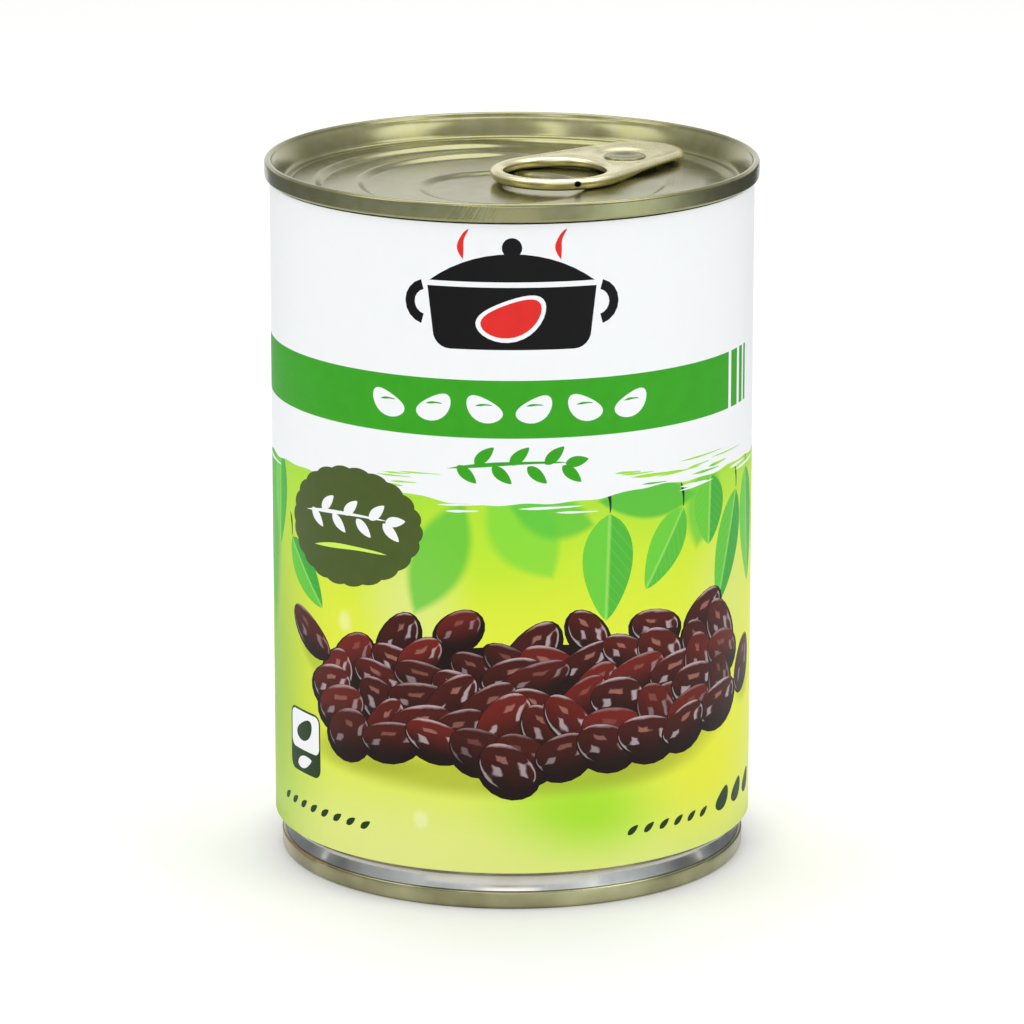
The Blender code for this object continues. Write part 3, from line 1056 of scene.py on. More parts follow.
@dataclass
class Label:
    """The paper wrap: the flat print cut along its outlines and wound round the drum."""

    thickness: float = 0.14
    lap_lift: float = 0.17
    lap_length: float = 7.0
    lap_run: float = 4.0
    column: float = 1.5
    row: float = 3.0
    design: LabelPrint = field(default_factory=LabelPrint)

    def finishes(self) -> list[bpy.types.Material]:
        """The inks in the order of the Ink names.

        Returns:
            One material for each ink.
        """
        marks = (
            SoftMark("#A6DF2C", (11.0, 15.5), (11.0, 5.5), 0, 0.9, 0.95),
            SoftMark("#E6E938", (36.0, 18.5), (12.0, 8.0), 0, 0.9, 0.9),
            SoftMark("#E4E98A", (-18.0, 8.0), (18.0, 7.0), 0, 0.9, 0.8),
            SoftMark("#B2E434", (-3.0, 57.0), (10.0, 6.0), 0, 0.9, 0.6),
            SoftMark("#DDE788", (-15.5, 47.0), (6.0, 7.0), 0, 0.9, 0.8),
            SoftMark("#D9E37A", (40.0, 44.0), (7.0, 9.0), 0, 0.9, 0.75),
            SoftMark("#7FB838", (-54.0, 30.0), (14.0, 26.0), 0, 0.9, 0.85),
            SoftMark("#49AE38", (-52.0, 58.0), (22.0, 5.0), 93, 0.4, 0.9, True),
            SoftMark("#5CC33A", (-11.0, 54.4), (9.6, 4.3), 66, 0.22, 0.85, True),
            SoftMark("#7CD63A", (1.6, 58.8), (8.4, 5.0), 122, 0.2, 0.8, True),
            SoftMark("#5BC43C", (6.0, 61.0), (6.5, 3.4), 165, 0.26, 0.85, True),
            SoftMark("#4DB93A", (22.0, 62.2), (9.0, 2.9), 176, 0.16, 0.9, True),
            SoftMark("#5FC53B", (33.0, 60.0), (7.0, 4.0), 75, 0.3, 0.8, True),
            SoftMark("#5CBE3A", (60.0, 52.0), (16.0, 6.0), 95, 0.3, 0.85, True),
            SoftMark("#57BC3B", (-80.0, 55.0), (13.0, 6.0), 70, 0.3, 0.8, True),
            SoftMark("#6CC63A", (106.0, 54.0), (14.0, 6.0), 100, 0.3, 0.8, True),
            SoftMark("#8A9422", (-1.0, 21.0), (26.0, 2.8), 0, 0.5, 0.55),
            SoftMark("#96A026", (-25.0, 22.2), (9.0, 2.6), 0, 0.5, 0.5),
            SoftMark("#96A026", (26.0, 23.2), (12.0, 3.2), 12, 0.5, 0.5),
            SoftMark("#A9B92A", (-35.2, 36.2), (4.6, 2.2), -42, 0.4, 0.7),
            SoftMark("#A9B92A", (46.9, 29.4), (3.6, 3.6), 0, 0.4, 0.6),
            SoftMark("#F2F2B4", (-27.5, 42.4), (1.2, 1.5), 0, 0.5, 0.5),
            SoftMark("#F2F4C0", (-14.0, 13.6), (1.1, 1.3), 0, 0.5, 0.5),
        )
        finishes = (
            LimeField(marks=marks),
            PrintedInk("white coated paper", "#F1F3F5", 0.004),
            PrintedInk("green printed paper", "#37A11B"),
            PrintedInk("black printed paper", "#0D0C0C"),
            PrintedInk("red printed paper", "#DE2B26"),
            PrintedInk("olive printed paper", "#4A5A26"),
            PrintedInk("pale lime printed paper", "#CDF05A"),
            PrintedInk("dark green printed paper", "#1C3A17"),
            PrintedLeaf(),
            PrintedBean(),
            PrintedInk("black brown printed paper", "#1A0B08"),
            PrintedInk("raw paper edge", "#E6E2D6", 0.02),
        )
        return [finish.make() for finish in finishes]

    def split(self, outline: list[Point]) -> list[Point]:
        """Cut an outline's long sides, so that they bend with the sheet."""
        points = []
        for (x, y), (end_x, end_y) in zip(outline, outline[1:] + outline[:1]):
            pieces = max(math.ceil(abs(end_x - x) / self.column), 1)
            parts = [piece / pieces for piece in range(pieces)]
            points += [(x + (end_x - x) * part, y + (end_y - y) * part) for part in parts]
        return points

    def partition(self, shapes: list[PrintShape]) -> tuple[list[Vector], list[list[int]], list[int]]:
        """Cut the sheet along every outline, so that each face has one ink.

        Args:
            shapes: the print from its lowest layer to its highest.

        Returns:
            Flat points, triangles and the number of each triangle's top shape.
        """
        points, rings = [], []
        for shape in shapes:
            pairs = zip(shape.outline, shape.outline[1:] + shape.outline[:1])
            area = sum(a[0] * b[1] - b[0] * a[1] for a, b in pairs)
            outline = self.split(shape.outline if area > 0 else shape.outline[::-1])
            rings.append(list(range(len(points), len(points) + len(outline))))
            points += [Vector(point) for point in outline]
        length = self.design.half_length
        columns = round(2 * length / self.column)
        rows = round((LABEL_TOP - LABEL_BOTTOM) / self.row)
        for column in range(columns + 1):
            for row in range(rows + 1):
                place = -length + 2 * length * column / columns
                height = LABEL_BOTTOM + (LABEL_TOP - LABEL_BOTTOM) * row / rows
                points.append(Vector((place, height)))
        flat, _, faces, _, _, origins = delaunay_2d_cdt(points, [], rings, 0, 1e-5, True)
        return flat, faces, [max(found) if found else 0 for found in origins]

    def slab(
        self, flat: list[Vector], faces: list[list[int]], tops: list[int], shapes: list[PrintShape]
    ) -> bpy.types.Object:
        """Make the flat sheet as a closed slab, printed side to the front.

        Args:
            flat: flat points in sheet millimetres.
            faces: triangles of the printed side.
            tops: each triangle's top shape.
            shapes: the print's shapes.

        Returns:
            The flat label.
        """
        count = len(flat)
        points = [(p[0] * MM, depth * MM, p[1] * MM) for depth in (0.0, self.thickness) for p in flat]
        sides = dict.fromkeys(pair for face in faces for pair in zip(face, face[1:] + face[:1]))
        rim = [(b, a, a + count, b + count) for a, b in sides if (b, a) not in sides]
        back = [tuple(index + count for index in face[::-1]) for face in faces]
        plain = len(back) + len(rim)
        front = [tuple(face) for face in faces]
        item = mesh_object("label", points, front + back + rim, self.finishes(), None)
        mesh = item.data
        inks = [shapes[top].ink.value for top in tops] + [Ink.CORE.value] * plain
        mesh.polygons.foreach_set("material_index", inks)
        owners = [shapes[top] for top in tops] + [shapes[0]] * plain
        for name, kind, values in (
            ("tone", "FLOAT", [shape.tone for shape in owners]),
            ("turn", "FLOAT", [shape.turn for shape in owners]),
            ("core", "BOOLEAN", [False] * len(tops) + [True] * plain),
        ):
            mesh.attributes.new(name, kind, "FACE").data.foreach_set("value", values)
        flat_places, local_places = [], []
        for shape, polygon in zip(owners, mesh.polygons):
            for vertex in polygon.vertices:
                place = (flat[vertex % count][0], flat[vertex % count][1])
                flat_places += place
                local_places += shape.local(place)
        mesh.uv_layers.new(name="sheet").data.foreach_set("uv", flat_places)
        mesh.uv_layers.new(name="print").data.foreach_set("uv", local_places)
        return item

    def winding_tree(self, core: bpy.types.Material) -> bpy.types.NodeTree:
        """Geometry Nodes that wind a flat sheet round the drum, with a glued lap at the back.

        Args:
            core: the material of the cut edge and the inner side.

        Returns:
            The tree.
        """
        inputs = {"Sheet": "Geometry", "Radius": "Float"}
        inputs |= {"Lap Start": "Float", "Lap Rise": "Float", "Lap Run": "Float"}
        tree, add, given = new_group("wind the label", "Geometry", inputs, "Geometry")
        axes = add("SeparateXYZ", add("GeometryNodeInputPosition"), out=None)
        angle = add("Math", axes[0], given["Radius"], operation="DIVIDE")
        settled = add("Math", given["Lap Start"], given["Lap Run"], operation="ADD")
        lap = (given["Lap Start"], settled, 0.0, given["Lap Rise"])
        lift = add("MapRange", axes[0], *lap, interpolation_type="SMOOTHSTEP")
        reach = add("Math", given["Radius"], lift, operation="ADD")
        reach = add("Math", reach, axes[1], operation="SUBTRACT")
        sine = add("Math", angle, operation="SINE")
        cosine = add("Math", angle, operation="COSINE")
        right = add("Math", sine, reach, operation="MULTIPLY")
        behind = add("Math", cosine, reach, operation="MULTIPLY")
        behind = add("Math", behind, -1.0, operation="MULTIPLY")
        wound = add("CombineXYZ", right, behind, axes[2])
        moved = add("GeometryNodeSetPosition", given["Sheet"], Position=wound)
        real = add("GeometryNodeRealizeInstances", moved)
        inner = add("GeometryNodeInputNamedAttribute", "core", data_type="BOOLEAN")
        add("NodeGroupOutput", add("GeometryNodeSetMaterial", real, inner, Material=core))
        return tree

    def wind(self, item: bpy.types.Object) -> None:
        """Wind the flat label round the drum and give it smooth radial normals.

        Args:
            item: the flat label, a plain wound mesh afterwards.
        """
        tree = self.winding_tree(item.data.materials[Ink.CORE.value])
        lap_start = self.design.half_length - self.lap_length - self.lap_run
        values = {"Radius": LABEL_RADIUS, "Lap Start": lap_start}
        values |= {"Lap Rise": self.lap_lift, "Lap Run": self.lap_run}
        run_group(item, tree, {name: value * MM for name, value in values.items()})
        mesh = item.data
        mesh.shade_smooth()
        normals = []
        for polygon in mesh.polygons:
            flat = abs(polygon.normal.z) > 0.5
            for corner in polygon.loop_indices:
                spot = mesh.vertices[mesh.loops[corner].vertex_index].co
                radial = Vector((spot.x, spot.y, 0.0)).normalized()
                facing = radial.dot(polygon.normal)
                if flat or abs(facing) < 0.5:
                    normals.append(polygon.normal)
                else:
                    normals.append(radial if facing > 0 else -radial)
        mesh.normals_split_custom_set([tuple(normal) for normal in normals])

    def build(self) -> None:
        """Draw, cut, wind and hand over the label."""
        shapes = self.design.draw()
        item = self.slab(*self.partition(shapes), shapes)
        self.wind(item)
        hand_over(item, "label_paper", "label")


@dataclass
class Drum:
    """The tin drum, which shows as the silver neck between the label and the base seam."""

    top: float = 102.0
    foot: float = 2.72
    neck_top: float = 7.0
    waist: float = 4.5
    waist_radius: float = 35.0
    flare: float = 0.28
    steps: int = 256

    def build(self) -> None:
        """Turn the drum and hand it over."""
        profile = [(0.0, self.top), (36.1, self.top), (DRUM_RADIUS, self.top - 0.4)]
        profile += [(DRUM_RADIUS, level) for level in (80.0, 40.0, self.neck_top + 1.0)]
        inset = DRUM_RADIUS - self.waist_radius
        parts = [ring / 8 for ring in range(9)]
        for part in parts:
            level = self.neck_top + (self.waist - self.neck_top) * part
            profile.append((DRUM_RADIUS - inset * ease(part), level))
        for part in parts[1:]:
            level = self.waist + (self.foot - self.waist) * part
            profile.append((self.waist_radius + self.flare * part * part, level))
        points, faces = revolve(profile + [(0.0, self.foot)], self.steps)
        item = mesh_object("drum", points, faces, [BareTinplate().make()])
        hand_over(item, "tinplate", "body")


@dataclass
class BaseEnd:
    """The lower end: rolled seam, standing ring, groove and ringed panel."""

    radius: float = 35.75
    height: float = 2.75
    shoulder: float = 0.4
    steps: int = 256

    def profile(self) -> list[Point]:
        """The section from the hidden top centre down the outer side to the panel's middle."""
        line = [(0.0, 2.7), (30.0, 2.7), (34.2, 2.7), (35.1, self.height - 0.02)]
        corner = (self.radius - self.shoulder, self.height - self.shoulder)
        line += arc_points(corner, self.shoulder, 90, 0, 6)
        line += [(self.radius - 0.02, 1.6)]
        line += arc_points((self.radius - 0.62, 0.6), 0.6, 0, -90, 6)
        line += [(34.3, 0.0)]
        line += arc_points((34.1, 0.5), 0.5, -90, -170, 4)
        line += [(33.3, 1.9)]
        line += arc_points((32.9, 1.9), 0.4, 0, 90, 4)
        line += [(32.0, 2.3), (31.4, 1.95), (31.0, 1.9)]
        for start, low, rise in ((24.0, 1.9, 0.3), (20.4, 2.2, -0.3), (16.0, 1.9, 0.3), (12.4, 2.2, -0.3)):
            line += [(start - 0.7 * part / 4, low + rise * ease(part / 4)) for part in range(5)]
        return line + [(0.0, 1.9)]

    def build(self, finish: bpy.types.Material) -> None:
        """Turn the end and hand it over."""
        points, faces = revolve(self.profile(), self.steps)
        item = mesh_object("base_end", points, faces, [finish], 40.0)
        hand_over(item, "lacquered_end", "base")


@dataclass
class ChipScatter:
    """Small flakes of lacquer and rust along the base seam's upper edge."""

    radius: float = 35.25
    height: float = 2.74
    size: float = 0.16
    count: int = 26
    first: float = 195.0
    sweep: float = 130.0
    seed: int = 5

    def tree(self, finish: bpy.types.Material) -> bpy.types.NodeTree:
        """Geometry Nodes that scatter flakes along an arc.

        Args:
            finish: the flakes' material.

        Returns:
            The tree.
        """
        inputs = {"Geometry": "Geometry", "Radius": "Float", "Height": "Float", "Size": "Float"}
        inputs |= {"First Angle": "Float", "Sweep": "Float", "Count": "Int", "Seed": "Int"}
        tree, add, given = new_group("scatter seam chips", "Geometry", inputs, "Geometry")
        vary = partial(add, "FunctionNodeRandomValue", Seed=given["Seed"], data_type="FLOAT_VECTOR")
        arc = add(
            "GeometryNodeCurveArc", Resolution=given["Count"], Radius=given["Radius"], mode="RADIUS",
            sockets={"Start Angle": given["First Angle"], "Sweep Angle": given["Sweep"]},
        )
        dots = add("GeometryNodeCurveToPoints", arc, given["Count"])
        shift = vary((-1.2 * MM, -1.2 * MM, -0.08 * MM), (1.2 * MM, 1.2 * MM, 0.0))
        raised = add("CombineXYZ", 0.0, 0.0, given["Height"])
        shift = add("VectorMath", shift, raised, operation="ADD")
        dots = add("GeometryNodeSetPosition", dots, Offset=shift)
        spot = add("GeometryNodeInputPosition")
        level = add("VectorMath", spot, (1.0, 1.0, 0.0), operation="MULTIPLY")
        outward = add("VectorMath", level, operation="NORMALIZE")
        outward = add("VectorMath", outward, given["Radius"], operation="SCALE")
        upright = add("VectorMath", spot, (0.0, 0.0, 1.0), operation="MULTIPLY")
        held = add("VectorMath", outward, upright, operation="ADD")
        dots = add("GeometryNodeSetPosition", dots, Position=held)
        flake = add("GeometryNodeMeshIcoSphere", Radius=given["Size"], Subdivisions=1)
        spin = vary((0.0, 0.0, 0.0), (6.28, 6.28, 6.28))
        grow = vary((0.3, 0.3, 0.15), (1.2, 0.8, 0.4))
        flakes = add("GeometryNodeInstanceOnPoints", dots, Instance=flake, Rotation=spin, Scale=grow)
        real = add("GeometryNodeRealizeInstances", flakes)
        add("NodeGroupOutput", add("GeometryNodeSetMaterial", real, Material=finish))
        return tree

    def build(self, finish: bpy.types.Material) -> None:
        """Scatter the flakes and hand them over."""
        item = mesh_object("seam_chips", [], [], [], None)
        values = {"Radius": self.radius * MM, "Height": self.height * MM, "Size": self.size * MM}
        values |= {"First Angle": math.radians(self.first), "Sweep": math.radians(self.sweep)}
        values |= {"Count": self.count, "Seed": self.seed}
        run_group(item, self.tree(finish), values)
        hand_over(item, "lacquered_end")


@dataclass
class Lid:
    """The ring-pull end: stepped panel, finger well, score line, chuck wall, seam and rivet."""

    panel: float = 103.5
    middle_ring: float = 103.95
    outer_ring: float = 104.4
    bed: float = 103.85
    foot: float = 102.4
    inner_step: float = 22.9
    outer_step: float = 29.3
    step_run: float = 1.6
    ring_tilt: float = 0.08
    score_radius: float = 33.4
    well: Spot = (-1.5, -1.3, 12.1)
    well_depth: float = 0.5
    seam_radius: float = 37.5
    seam_height: float = 2.8
    seam_round: float = 0.53
    steps: int = 320

    def rise(self, place: float, middle: float) -> float:
        """Share of a step that lies inwards of a place, from 0 to 1."""
        return ease((place - middle) / self.step_run + 0.5)

    def height(self, radius: float, angle: float) -> float:
        """Height of the panel at a place.

        Args:
            radius: distance from the can's axis.
            angle: angle from +X.

        Returns:
            The height in millimetres.
        """
        inner, outer = self.rise(radius, self.inner_step), self.rise(radius, self.outer_step)
        tilt = self.ring_tilt * (radius - (self.inner_step + self.outer_step) / 2)
        stepped = self.panel + (self.middle_ring - self.panel) * inner
        stepped += (self.outer_ring - self.middle_ring) * outer - tilt * inner * (1 - outer)
        plain = self.panel + (self.bed - self.panel) * ease((radius - 12.0) / 8.0)
        plain += (self.outer_ring - self.bed) * ease((radius - 32.6) / 1.1)
        # The rings stop on both sides of the ring pull, where the bed lies plain
        turn = (angle - RIVET_AZIMUTH + math.pi) % math.tau - math.pi
        flat = 1 - ease((abs(turn) - math.radians(34)) / math.radians(30))
        place = stepped + (plain - stepped) * flat
        spot = (radius * math.cos(angle), radius * math.sin(angle))
        place -= self.well_depth * (1 - self.rise(math.dist(spot, self.well[:2]), self.well[2]))
        place += 0.25 * math.exp(-((math.dist(spot, RIVET) / 3.0) ** 2))
        return place - 0.07 * max(1 - abs(radius - self.score_radius) / 0.16, 0.0)

    def radii(self) -> list[float]:
        """Ring radii of the panel, closer at the steps and the score line."""
        rings = [0.6 * number for number in range(1, 57)]
        for middle in (self.inner_step, self.outer_step):
            rings += [middle + 1.2 * (number / 5) for number in range(-5, 6)]
        rings += [self.score_radius + gap for gap in (-0.16, -0.08, 0.0, 0.08, 0.16)]
        kept = [0.0]
        for ring in sorted(rings):
            if ring < 33.9 and ring - kept[-1] > 0.06:
                kept.append(ring)
        return kept[1:]

    def wall(self) -> list[Point]:
        """Section from the ledge over the seam and down to the hidden underside."""
        foot = CAN_HEIGHT - self.seam_height
        crest = CAN_HEIGHT - self.seam_round
        line = [(34.1, 104.41), (34.4, 104.44), (34.66, 104.52), (34.82, 104.72), (34.96, 105.05)]
        line += [(35.25, 105.8), (35.75, 106.7), (36.2, 107.3), (36.38, crest - 0.05)]
        line += arc_points((self.seam_radius - self.seam_round, crest), self.seam_round, 165, 0, 14)
        line += [(37.49, 106.9), (37.5, 106.2), (37.46, 105.75)]
        line += arc_points((37.08, 105.58), 0.38, 0, -90, 5)
        return line + [(36.7, foot + 0.1), (36.15, foot + 0.1), (36.1, foot - 0.4), (36.1, self.foot)]

    def rivet(self) -> tuple[list, list]:
        """Build the rivet as a low button with a dimple.

        Returns:
            Vertices in metres and faces.
        """
        under = TAB_TOP_AT_RIVET - TAB_THICKNESS + 0.42
        top = under + 0.2
        line = [(0.0, top - 0.27), (0.9, top - 0.26), (1.7, top - 0.17), (2.3, top - 0.04), (2.7, top)]
        line += arc_points((3.1, top - 0.2), 0.2, 80, -80, 6)
        line += [(3.0, under), (2.05, under), (2.0, under - 0.2), (2.0, self.bed - 0.5)]
        points, faces = revolve(line + [(0.0, self.bed - 0.5)], 48)
        return [(x + RIVET[0] * MM, y + RIVET[1] * MM, z) for x, y, z in points], faces

    def build(self, finish: bpy.types.Material) -> None:
        """Build the lid with its rivet and hand it over."""
        profile = [(0.0, self.height(0.0, 0.0))] + [(radius, None) for radius in self.radii()]
        points, faces = revolve(profile + self.wall() + [(0.0, self.foot)], self.steps, self.height)
        more, extra = self.rivet()
        faces += [tuple(index + len(points) for index in face) for face in extra]
        item = mesh_object("lid_end", points + more, faces, [finish], 50.0)
        hand_over(item, "lacquered_end", "lid")


@dataclass
class RingPull:
    """The ring pull: a stamped steel lever with curled edges, a finger hole and a rivet dish."""

    ring: Point = (-15.2, 10.5)
    nose: Point = (2.4, 7.5)
    hole: Spot = (-16.1, 7.6, 8.1)
    bead: float = 1.05
    web_drop: float = 0.3
    roll: float = 0.65
    sheet: float = 0.3
    dish: Point = (3.9, 5.9)
    bore: float = 2.5

    def outline(self, inset: float, count: int = 36) -> list[Point]:
        """Outline of the two discs and their flanks.

        Args:
            inset: how far it is drawn in.
            count: the steps round each disc.

        Returns:
            The outline, in millimetres from the rivet.
        """
        first, second = self.ring[0], self.nose[0]
        big, small = self.ring[1] - inset, self.nose[1] - inset
        half = math.pi / 2 - math.asin((big - small) / (second - first))
        turn = math.degrees(half)
        flank = []
        for step in range(1, 8):
            reach = small + (big - small) * step / 8
            middle = second + (first - second) * step / 8
            flank.append((middle + reach * math.cos(half), reach * math.sin(half)))
        nose = arc_points((second, 0.0), small, -turn, turn, count)
        ring = arc_points((first, 0.0), big, turn, 360 - turn, count)
        return nose + flank + ring + [(x, -y) for x, y in reversed(flank)]

    def opening(self, outset: float) -> list[Point]:
        """Outline of the finger hole, widened by an outset."""
        middle, length, width = self.hole
        return oval_points(middle, length + outset, width + outset, 56)

    def depth(self, x: float, y: float) -> tuple[float, float]:
        """How far a place lies from the lever's edges.

        Args:
            x: place along the lever from the rivet.
            y: place across it.

        Returns:
            The distances from the outer edge and from the finger hole's edge.
        """
        first, second = self.ring[0], self.nose[0]
        span = second - first
        lean = (self.ring[1] - self.nose[1]) / span
        rise = math.sqrt(1 - lean * lean)
        side, along = abs(y), x - first
        reach = -lean * side + rise * along
        if reach < 0:
            outer = math.hypot(side, along) - self.ring[1]
        elif reach > rise * span:
            outer = math.hypot(side, along - span) - self.nose[1]
        else:
            outer = side * rise + along * lean - self.ring[1]
        middle, length, width = self.hole
        scaled = math.hypot((x - middle) / length, y / width)
        return -outer, (scaled - 1) * min(length, width)

    def levels(self, x: float, y: float) -> tuple[float, float]:
        """Heights of the upper and lower sides over the lever's mid plane.

        Args:
            x: place along the lever from the rivet.
            y: place across it.

        Returns:
            The upper and the lower height.
        """
        half = TAB_THICKNESS / 2
        edge = max(min(self.depth(x, y)), 0.0)
        thick = half + self.roll * ease((-x - 3.0) / 9.0)
        if edge < self.bead:
            curl = math.sqrt(max(1 - (1 - edge / self.bead) ** 2, 0.0))
            return half * curl, -thick * curl
        inward = ease((edge - self.bead) / 0.9)
        web = half - self.web_drop * inward
        base = -thick + (thick + half - self.sheet - self.web_drop) * inward
        sink = ease((self.dish[1] - math.hypot(x, y)) / (self.dish[1] - self.dish[0]))
        floor = -half + 0.38
        upper = web + (floor - web) * sink
        lower = min(base, upper - self.sheet)
        return upper, lower + (floor - self.sheet - lower) * sink

    def mesh(self) -> tuple[list, list]:
        """Cut the lever along its outlines and give each point its two heights.

        Returns:
            Vertices in millimetres in the lever's own frame, and faces.
        """
        loops = [self.outline(0.0), self.opening(0.0), oval_points(0.0, self.bore, self.bore, 32)]
        for turn in (15, 30, 45, 60, 75, 90):
            inset = self.bead * (1 - math.cos(math.radians(turn)))
            loops += [self.outline(inset), self.opening(inset)]
        loops += [self.outline(1.15), self.outline(1.4), self.opening(1.2), self.opening(1.5)]
        for radius in (2.9, 3.4, 3.9, 4.2, 4.5, 4.8, 5.1, 5.4, 5.7, 6.0):
            loops.append(oval_points(0.0, radius, radius, 44))
        points, rings = [], []
        for loop in loops:
            rings.append(list(range(len(points), len(points) + len(loop))))
            points += [Vector(point) for point in loop]
        flat, _, found, _, _, origins = delaunay_2d_cdt(points, [], rings, 0, 1e-5, True)
        kept = [
            tuple(face) for face, owners in zip(found, origins)
            if 0 in owners and 1 not in owners and 2 not in owners
        ]
        uppers, lowers, shared = [], [], {}
        for number, (x, y) in enumerate(flat):
            high, low = self.levels(x, y)
            uppers.append((x, y, high))
            if high - low < 0.02:
                shared[number] = number
            else:
                shared[number] = len(flat) + len(lowers)
                lowers.append((x, y, low))
        sides = {(a, b) for face in kept for a, b in zip(face, face[1:] + face[:1])}
        wall = [
            (b, a, shared[a], shared[b]) for a, b in sides
            if (b, a) not in sides and shared[a] != a and shared[b] != b
        ]
        under = [tuple(shared[index] for index in face[::-1]) for face in kept]
        used = sorted({index for face in kept + under + wall for index in face})
        renumber = {old: new for new, old in enumerate(used)}
        faces = [tuple(renumber[index] for index in face) for face in kept + under + wall]
        return [(uppers + lowers)[old] for old in used], faces

    def build(self, finish: bpy.types.Material) -> None:
        """Build the lever, lay it on the lid and hand it over."""
        points, faces = self.mesh()
        turn = Matrix.Rotation(TAB_AZIMUTH, 4, "Z") @ Matrix.Rotation(-TAB_RISE, 4, "Y")
        lay = Matrix.Translation((*RIVET, TAB_TOP_AT_RIVET - TAB_THICKNESS / 2)) @ turn
        points = [tuple((lay @ Vector(point)) * MM) for point in points]
        item = mesh_object("ring_lever", points, faces, [finish], 60.0)
        hand_over(item, "ring_pull", "tab")


# Studio


@dataclass(frozen=True)
class Card:
    """A shaded card that bends round the can, its tone set at a few angles, sizes in metres."""

    name: str
    tones: tuple[Point, ...]
    radius: float
    top: float

    def build(self, material: bpy.types.Material) -> None:
        """Stand the card where only the can's reflections see it.

        Args:
            material: the glowing finish that shows the card's tones.
        """
        points, tones = [], []
        for (first, low), (last, high) in zip(self.tones, self.tones[1:]):
            for step in range(8):
                angle = math.radians(first + (last - first) * step / 8)
                spot = (self.radius * math.sin(angle), -self.radius * math.cos(angle))
                points += [(*spot, 0.0), (*spot, self.top)]
                tones += [low + (high - low) * step / 8] * 2
        faces = [(at, at + 1, at + 3, at + 2) for at in range(0, len(points) - 2, 2)]
        item = mesh_object(self.name, points, faces, [material], None)
        item.data.attributes.new("tone", "FLOAT", "POINT").data.foreach_set("value", tones)
        item.visible_camera = False
        item.visible_diffuse = False
        item.visible_shadow = False


@dataclass(frozen=True)
class Lamp:
    """A soft rectangular light that points at the can, sizes in metres and power in watts."""

    name: str
    place: Spot
    size: Point
    power: float
    target: Spot = (0.0, 0.0, 0.06)

    def build(self) -> None:
        """Hang the light."""
        data = bpy.data.lights.new(self.name, "AREA")
        data.shape = "RECTANGLE"
        data.size, data.size_y = self.size
        data.energy = self.power
        item = bpy.data.objects.new(self.name, data)
        item.location = self.place
        aim = Vector(self.target) - Vector(self.place)
        item.rotation_euler = aim.to_track_quat("-Z", "Y").to_euler()
        bpy.context.scene.collection.objects.link(item)


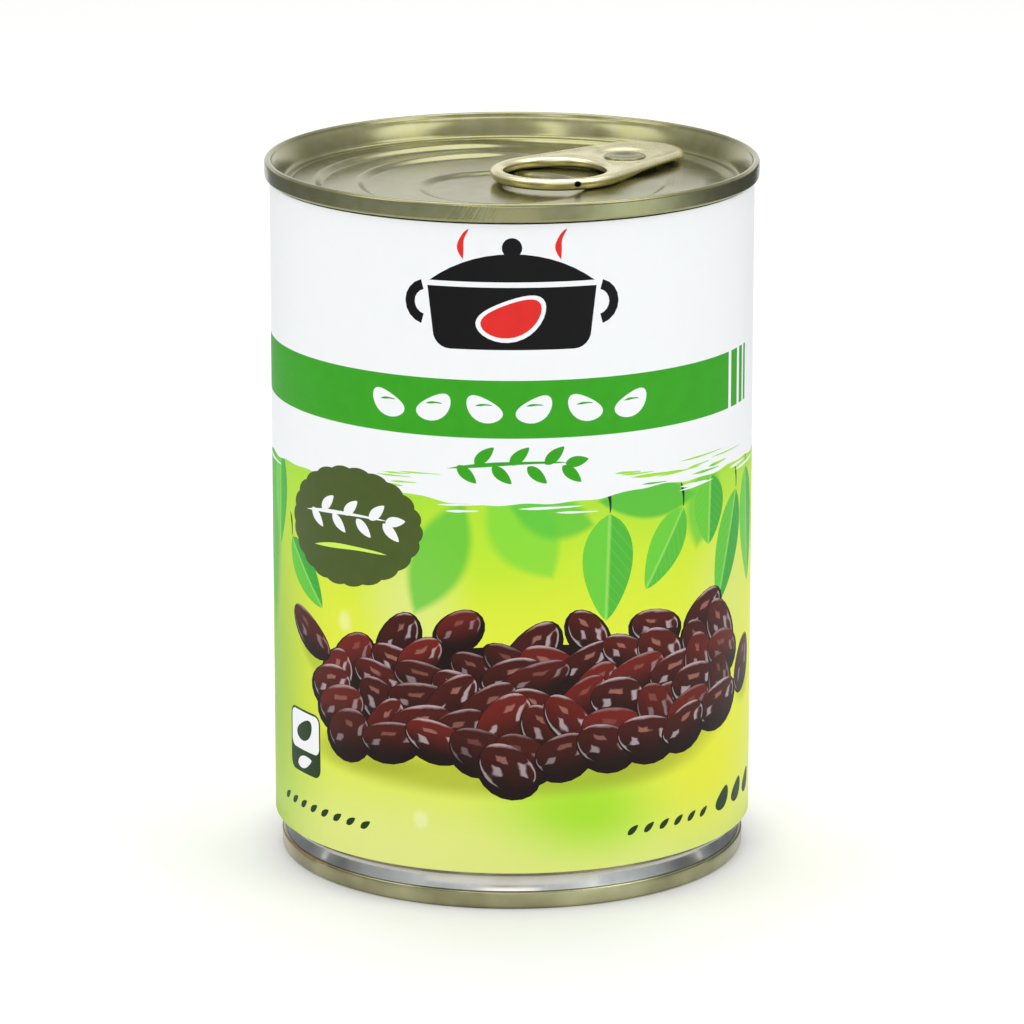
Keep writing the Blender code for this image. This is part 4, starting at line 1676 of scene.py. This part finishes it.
@dataclass
class Studio:
    """Camera, pale floor and soft lights."""

    distance: float = 0.84
    camera_height: float = 0.2687
    pitch: float = math.radians(14.443)
    lens: float = 198.3
    floor_reach: float = 6.0

    def camera(self) -> None:
        """Set the camera at the photograph's angle."""
        data = bpy.data.cameras.new("camera")
        data.lens = self.lens
        data.sensor_width = 36.0
        data.clip_start = 0.01
        item = bpy.data.objects.new("camera", data)
        item.location = (0.0, -self.distance, self.camera_height)
        item.rotation_euler = (math.pi / 2 - self.pitch, 0.0, 0.0)
        bpy.context.scene.collection.objects.link(item)
        bpy.context.scene.camera = item

    def floor(self) -> None:
        """Lay a wide pale floor under the can."""
        material, add = new_material("matt white board")
        # Board of an even white, clouded too faintly and widely to read as a pattern
        cloud = add("TexNoise", add("TexCoord", out="Object"), 3.0)
        shade = add("Mix", cloud, "#F4F4F3", "#F7F7F6", data_type="RGBA")
        add("OutputMaterial", add("BsdfPrincipled", Roughness=0.8, sockets={"Base Color": shade}))
        reach = self.floor_reach
        corners = [(-reach, -reach, 0.0), (reach, -reach, 0.0), (reach, reach, 0.0), (-reach, reach, 0.0)]
        mesh_object("floor", corners, [(0, 1, 2, 3)], [material], None)

    def cards(self) -> None:
        """Stand shaded cards round the can, which only its metal mirrors."""
        material, add = new_material("shaded card")
        tone = add("Attribute", attribute_name="tone", out="Fac")
        add("OutputMaterial", add("Emission", (0.92, 1.0, 1.08, 1.0), tone))
        left = ((-14, 0.85), (-24, 0.72), (-48, 0.6), (-72, 0.52), (-96, 0.38), (-120, 0.3), (-155, 0.3))
        right = ((12, 0.85), (24, 0.72), (34, 1.1), (48, 1.7), (64, 1.5), (78, 0.75), (94, 0.3))
        right += ((120, 0.16), (160, 0.12))
        back = ((160, 1.1), (170, 1.3), (190, 1.3), (200, 1.1))
        left_low = ((-26, 0.85), (-44, 0.5), (-58, 0.2), (-68, 0.3))
        right_low = ((26, 0.95), (44, 0.55), (58, 0.12), (68, 0.3))
        left_end = ((-64, 0.4), (-72, 0.25), (-90, 0.28), (-130, 0.35))
        right_end = ((64, 0.4), (72, 0.22), (95, 0.2), (130, 0.3))
        for card in (
            Card("left_card", left, 0.3, 0.125),
            Card("right_card", right, 0.3, 0.125),
            Card("back_card", back, 0.5, 0.125),
            Card("left_low_card", left_low, 0.044, 0.005),
            Card("right_low_card", right_low, 0.044, 0.005),
            Card("left_end_card", left_end, 0.04, 0.005),
            Card("right_end_card", right_end, 0.04, 0.005),
        ):
            card.build(material)

    def light(self) -> None:
        """Light the can evenly from both sides, from above and from the surrounding white."""
        Lamp("left softbox", (-0.92, -0.25, 0.9), (0.56, 0.6), 1.85).build()
        Lamp("left strip", (-0.37, -0.81, 0.9), (0.18, 0.6), 0.85).build()
        Lamp("right softbox", (0.78, -0.36, 0.9), (0.56, 0.6), 2.1).build()
        Lamp("front softbox", (0.0, -1.5, 0.5), (0.9, 0.6), 2.5).build()
        Lamp("top softbox", (0.0, 0.3, 1.1), (1.0, 1.0), 5.6).build()
        world = bpy.data.worlds.new("white studio")
        world.use_nodes = True
        world.node_tree.nodes.clear()
        add = partial(add_node, world.node_tree)
        axes = add("SeparateXYZ", add("TexCoord", out="Generated"), out=None)
        front = ((0.0, 0.42), (0.25, 0.45), (0.8, 0.85), (1.0, 0.85))
        back = ((0.0, 1.2), (0.3, 1.15), (0.45, 0.55), (0.85, 0.42))
        ramps = []
        for levels in (front, back):
            stops = [(place, (value, value, value, 1.0)) for place, value in levels]
            ramps.append(add("ValToRGB", axes[2], stops=stops))
        behind = add("MapRange", axes[1], 0.55, 0.9, 0.0, 1.0, interpolation_type="SMOOTHSTEP")
        shade = add("Mix", behind, *ramps, data_type="RGBA")
        add("OutputWorld", add("Background", shade, 1.0))
        bpy.context.scene.world = world

    def build(self) -> None:
        """Set up the whole studio."""
        self.camera()
        self.floor()
        self.cards()
        self.light()
        view = bpy.context.scene.view_settings
        view.view_transform = "Standard"
        view.look = "None"
        view.exposure = 0.0


def main() -> None:
    """Build the studio and every piece of the can, from the drum to the ring pull."""
    logging.basicConfig(level=logging.INFO, format="%(message)s")
    Studio().build()
    gold = LacqueredTinplate("khaki lacquered tinplate", "#949270", "#8E8C62", 0.22, scratched=True)
    # The base end's wide light and dark patches are wear, and also painted reflections along the seam
    worn_painted_sheen = LacqueredTinplate("worn khaki lacquered tinplate", "#BBB892", "#8B8868", 0.24, 14.0, rust=True)
    fleck = (9.95, -4.9, 104.6)
    steel = LacqueredTinplate("pale gold lacquered steel", "#E1DAB3", "#DED7AD", 0.28, fleck=fleck)
    Drum().build()
    Label().build()
    BaseEnd().build(worn_painted_sheen.make())
    ChipScatter().build(FlakedLacquer().make())
    Lid().build(gold.make())
    RingPull().build(steel.make())


if __name__ == "__main__":
    main()
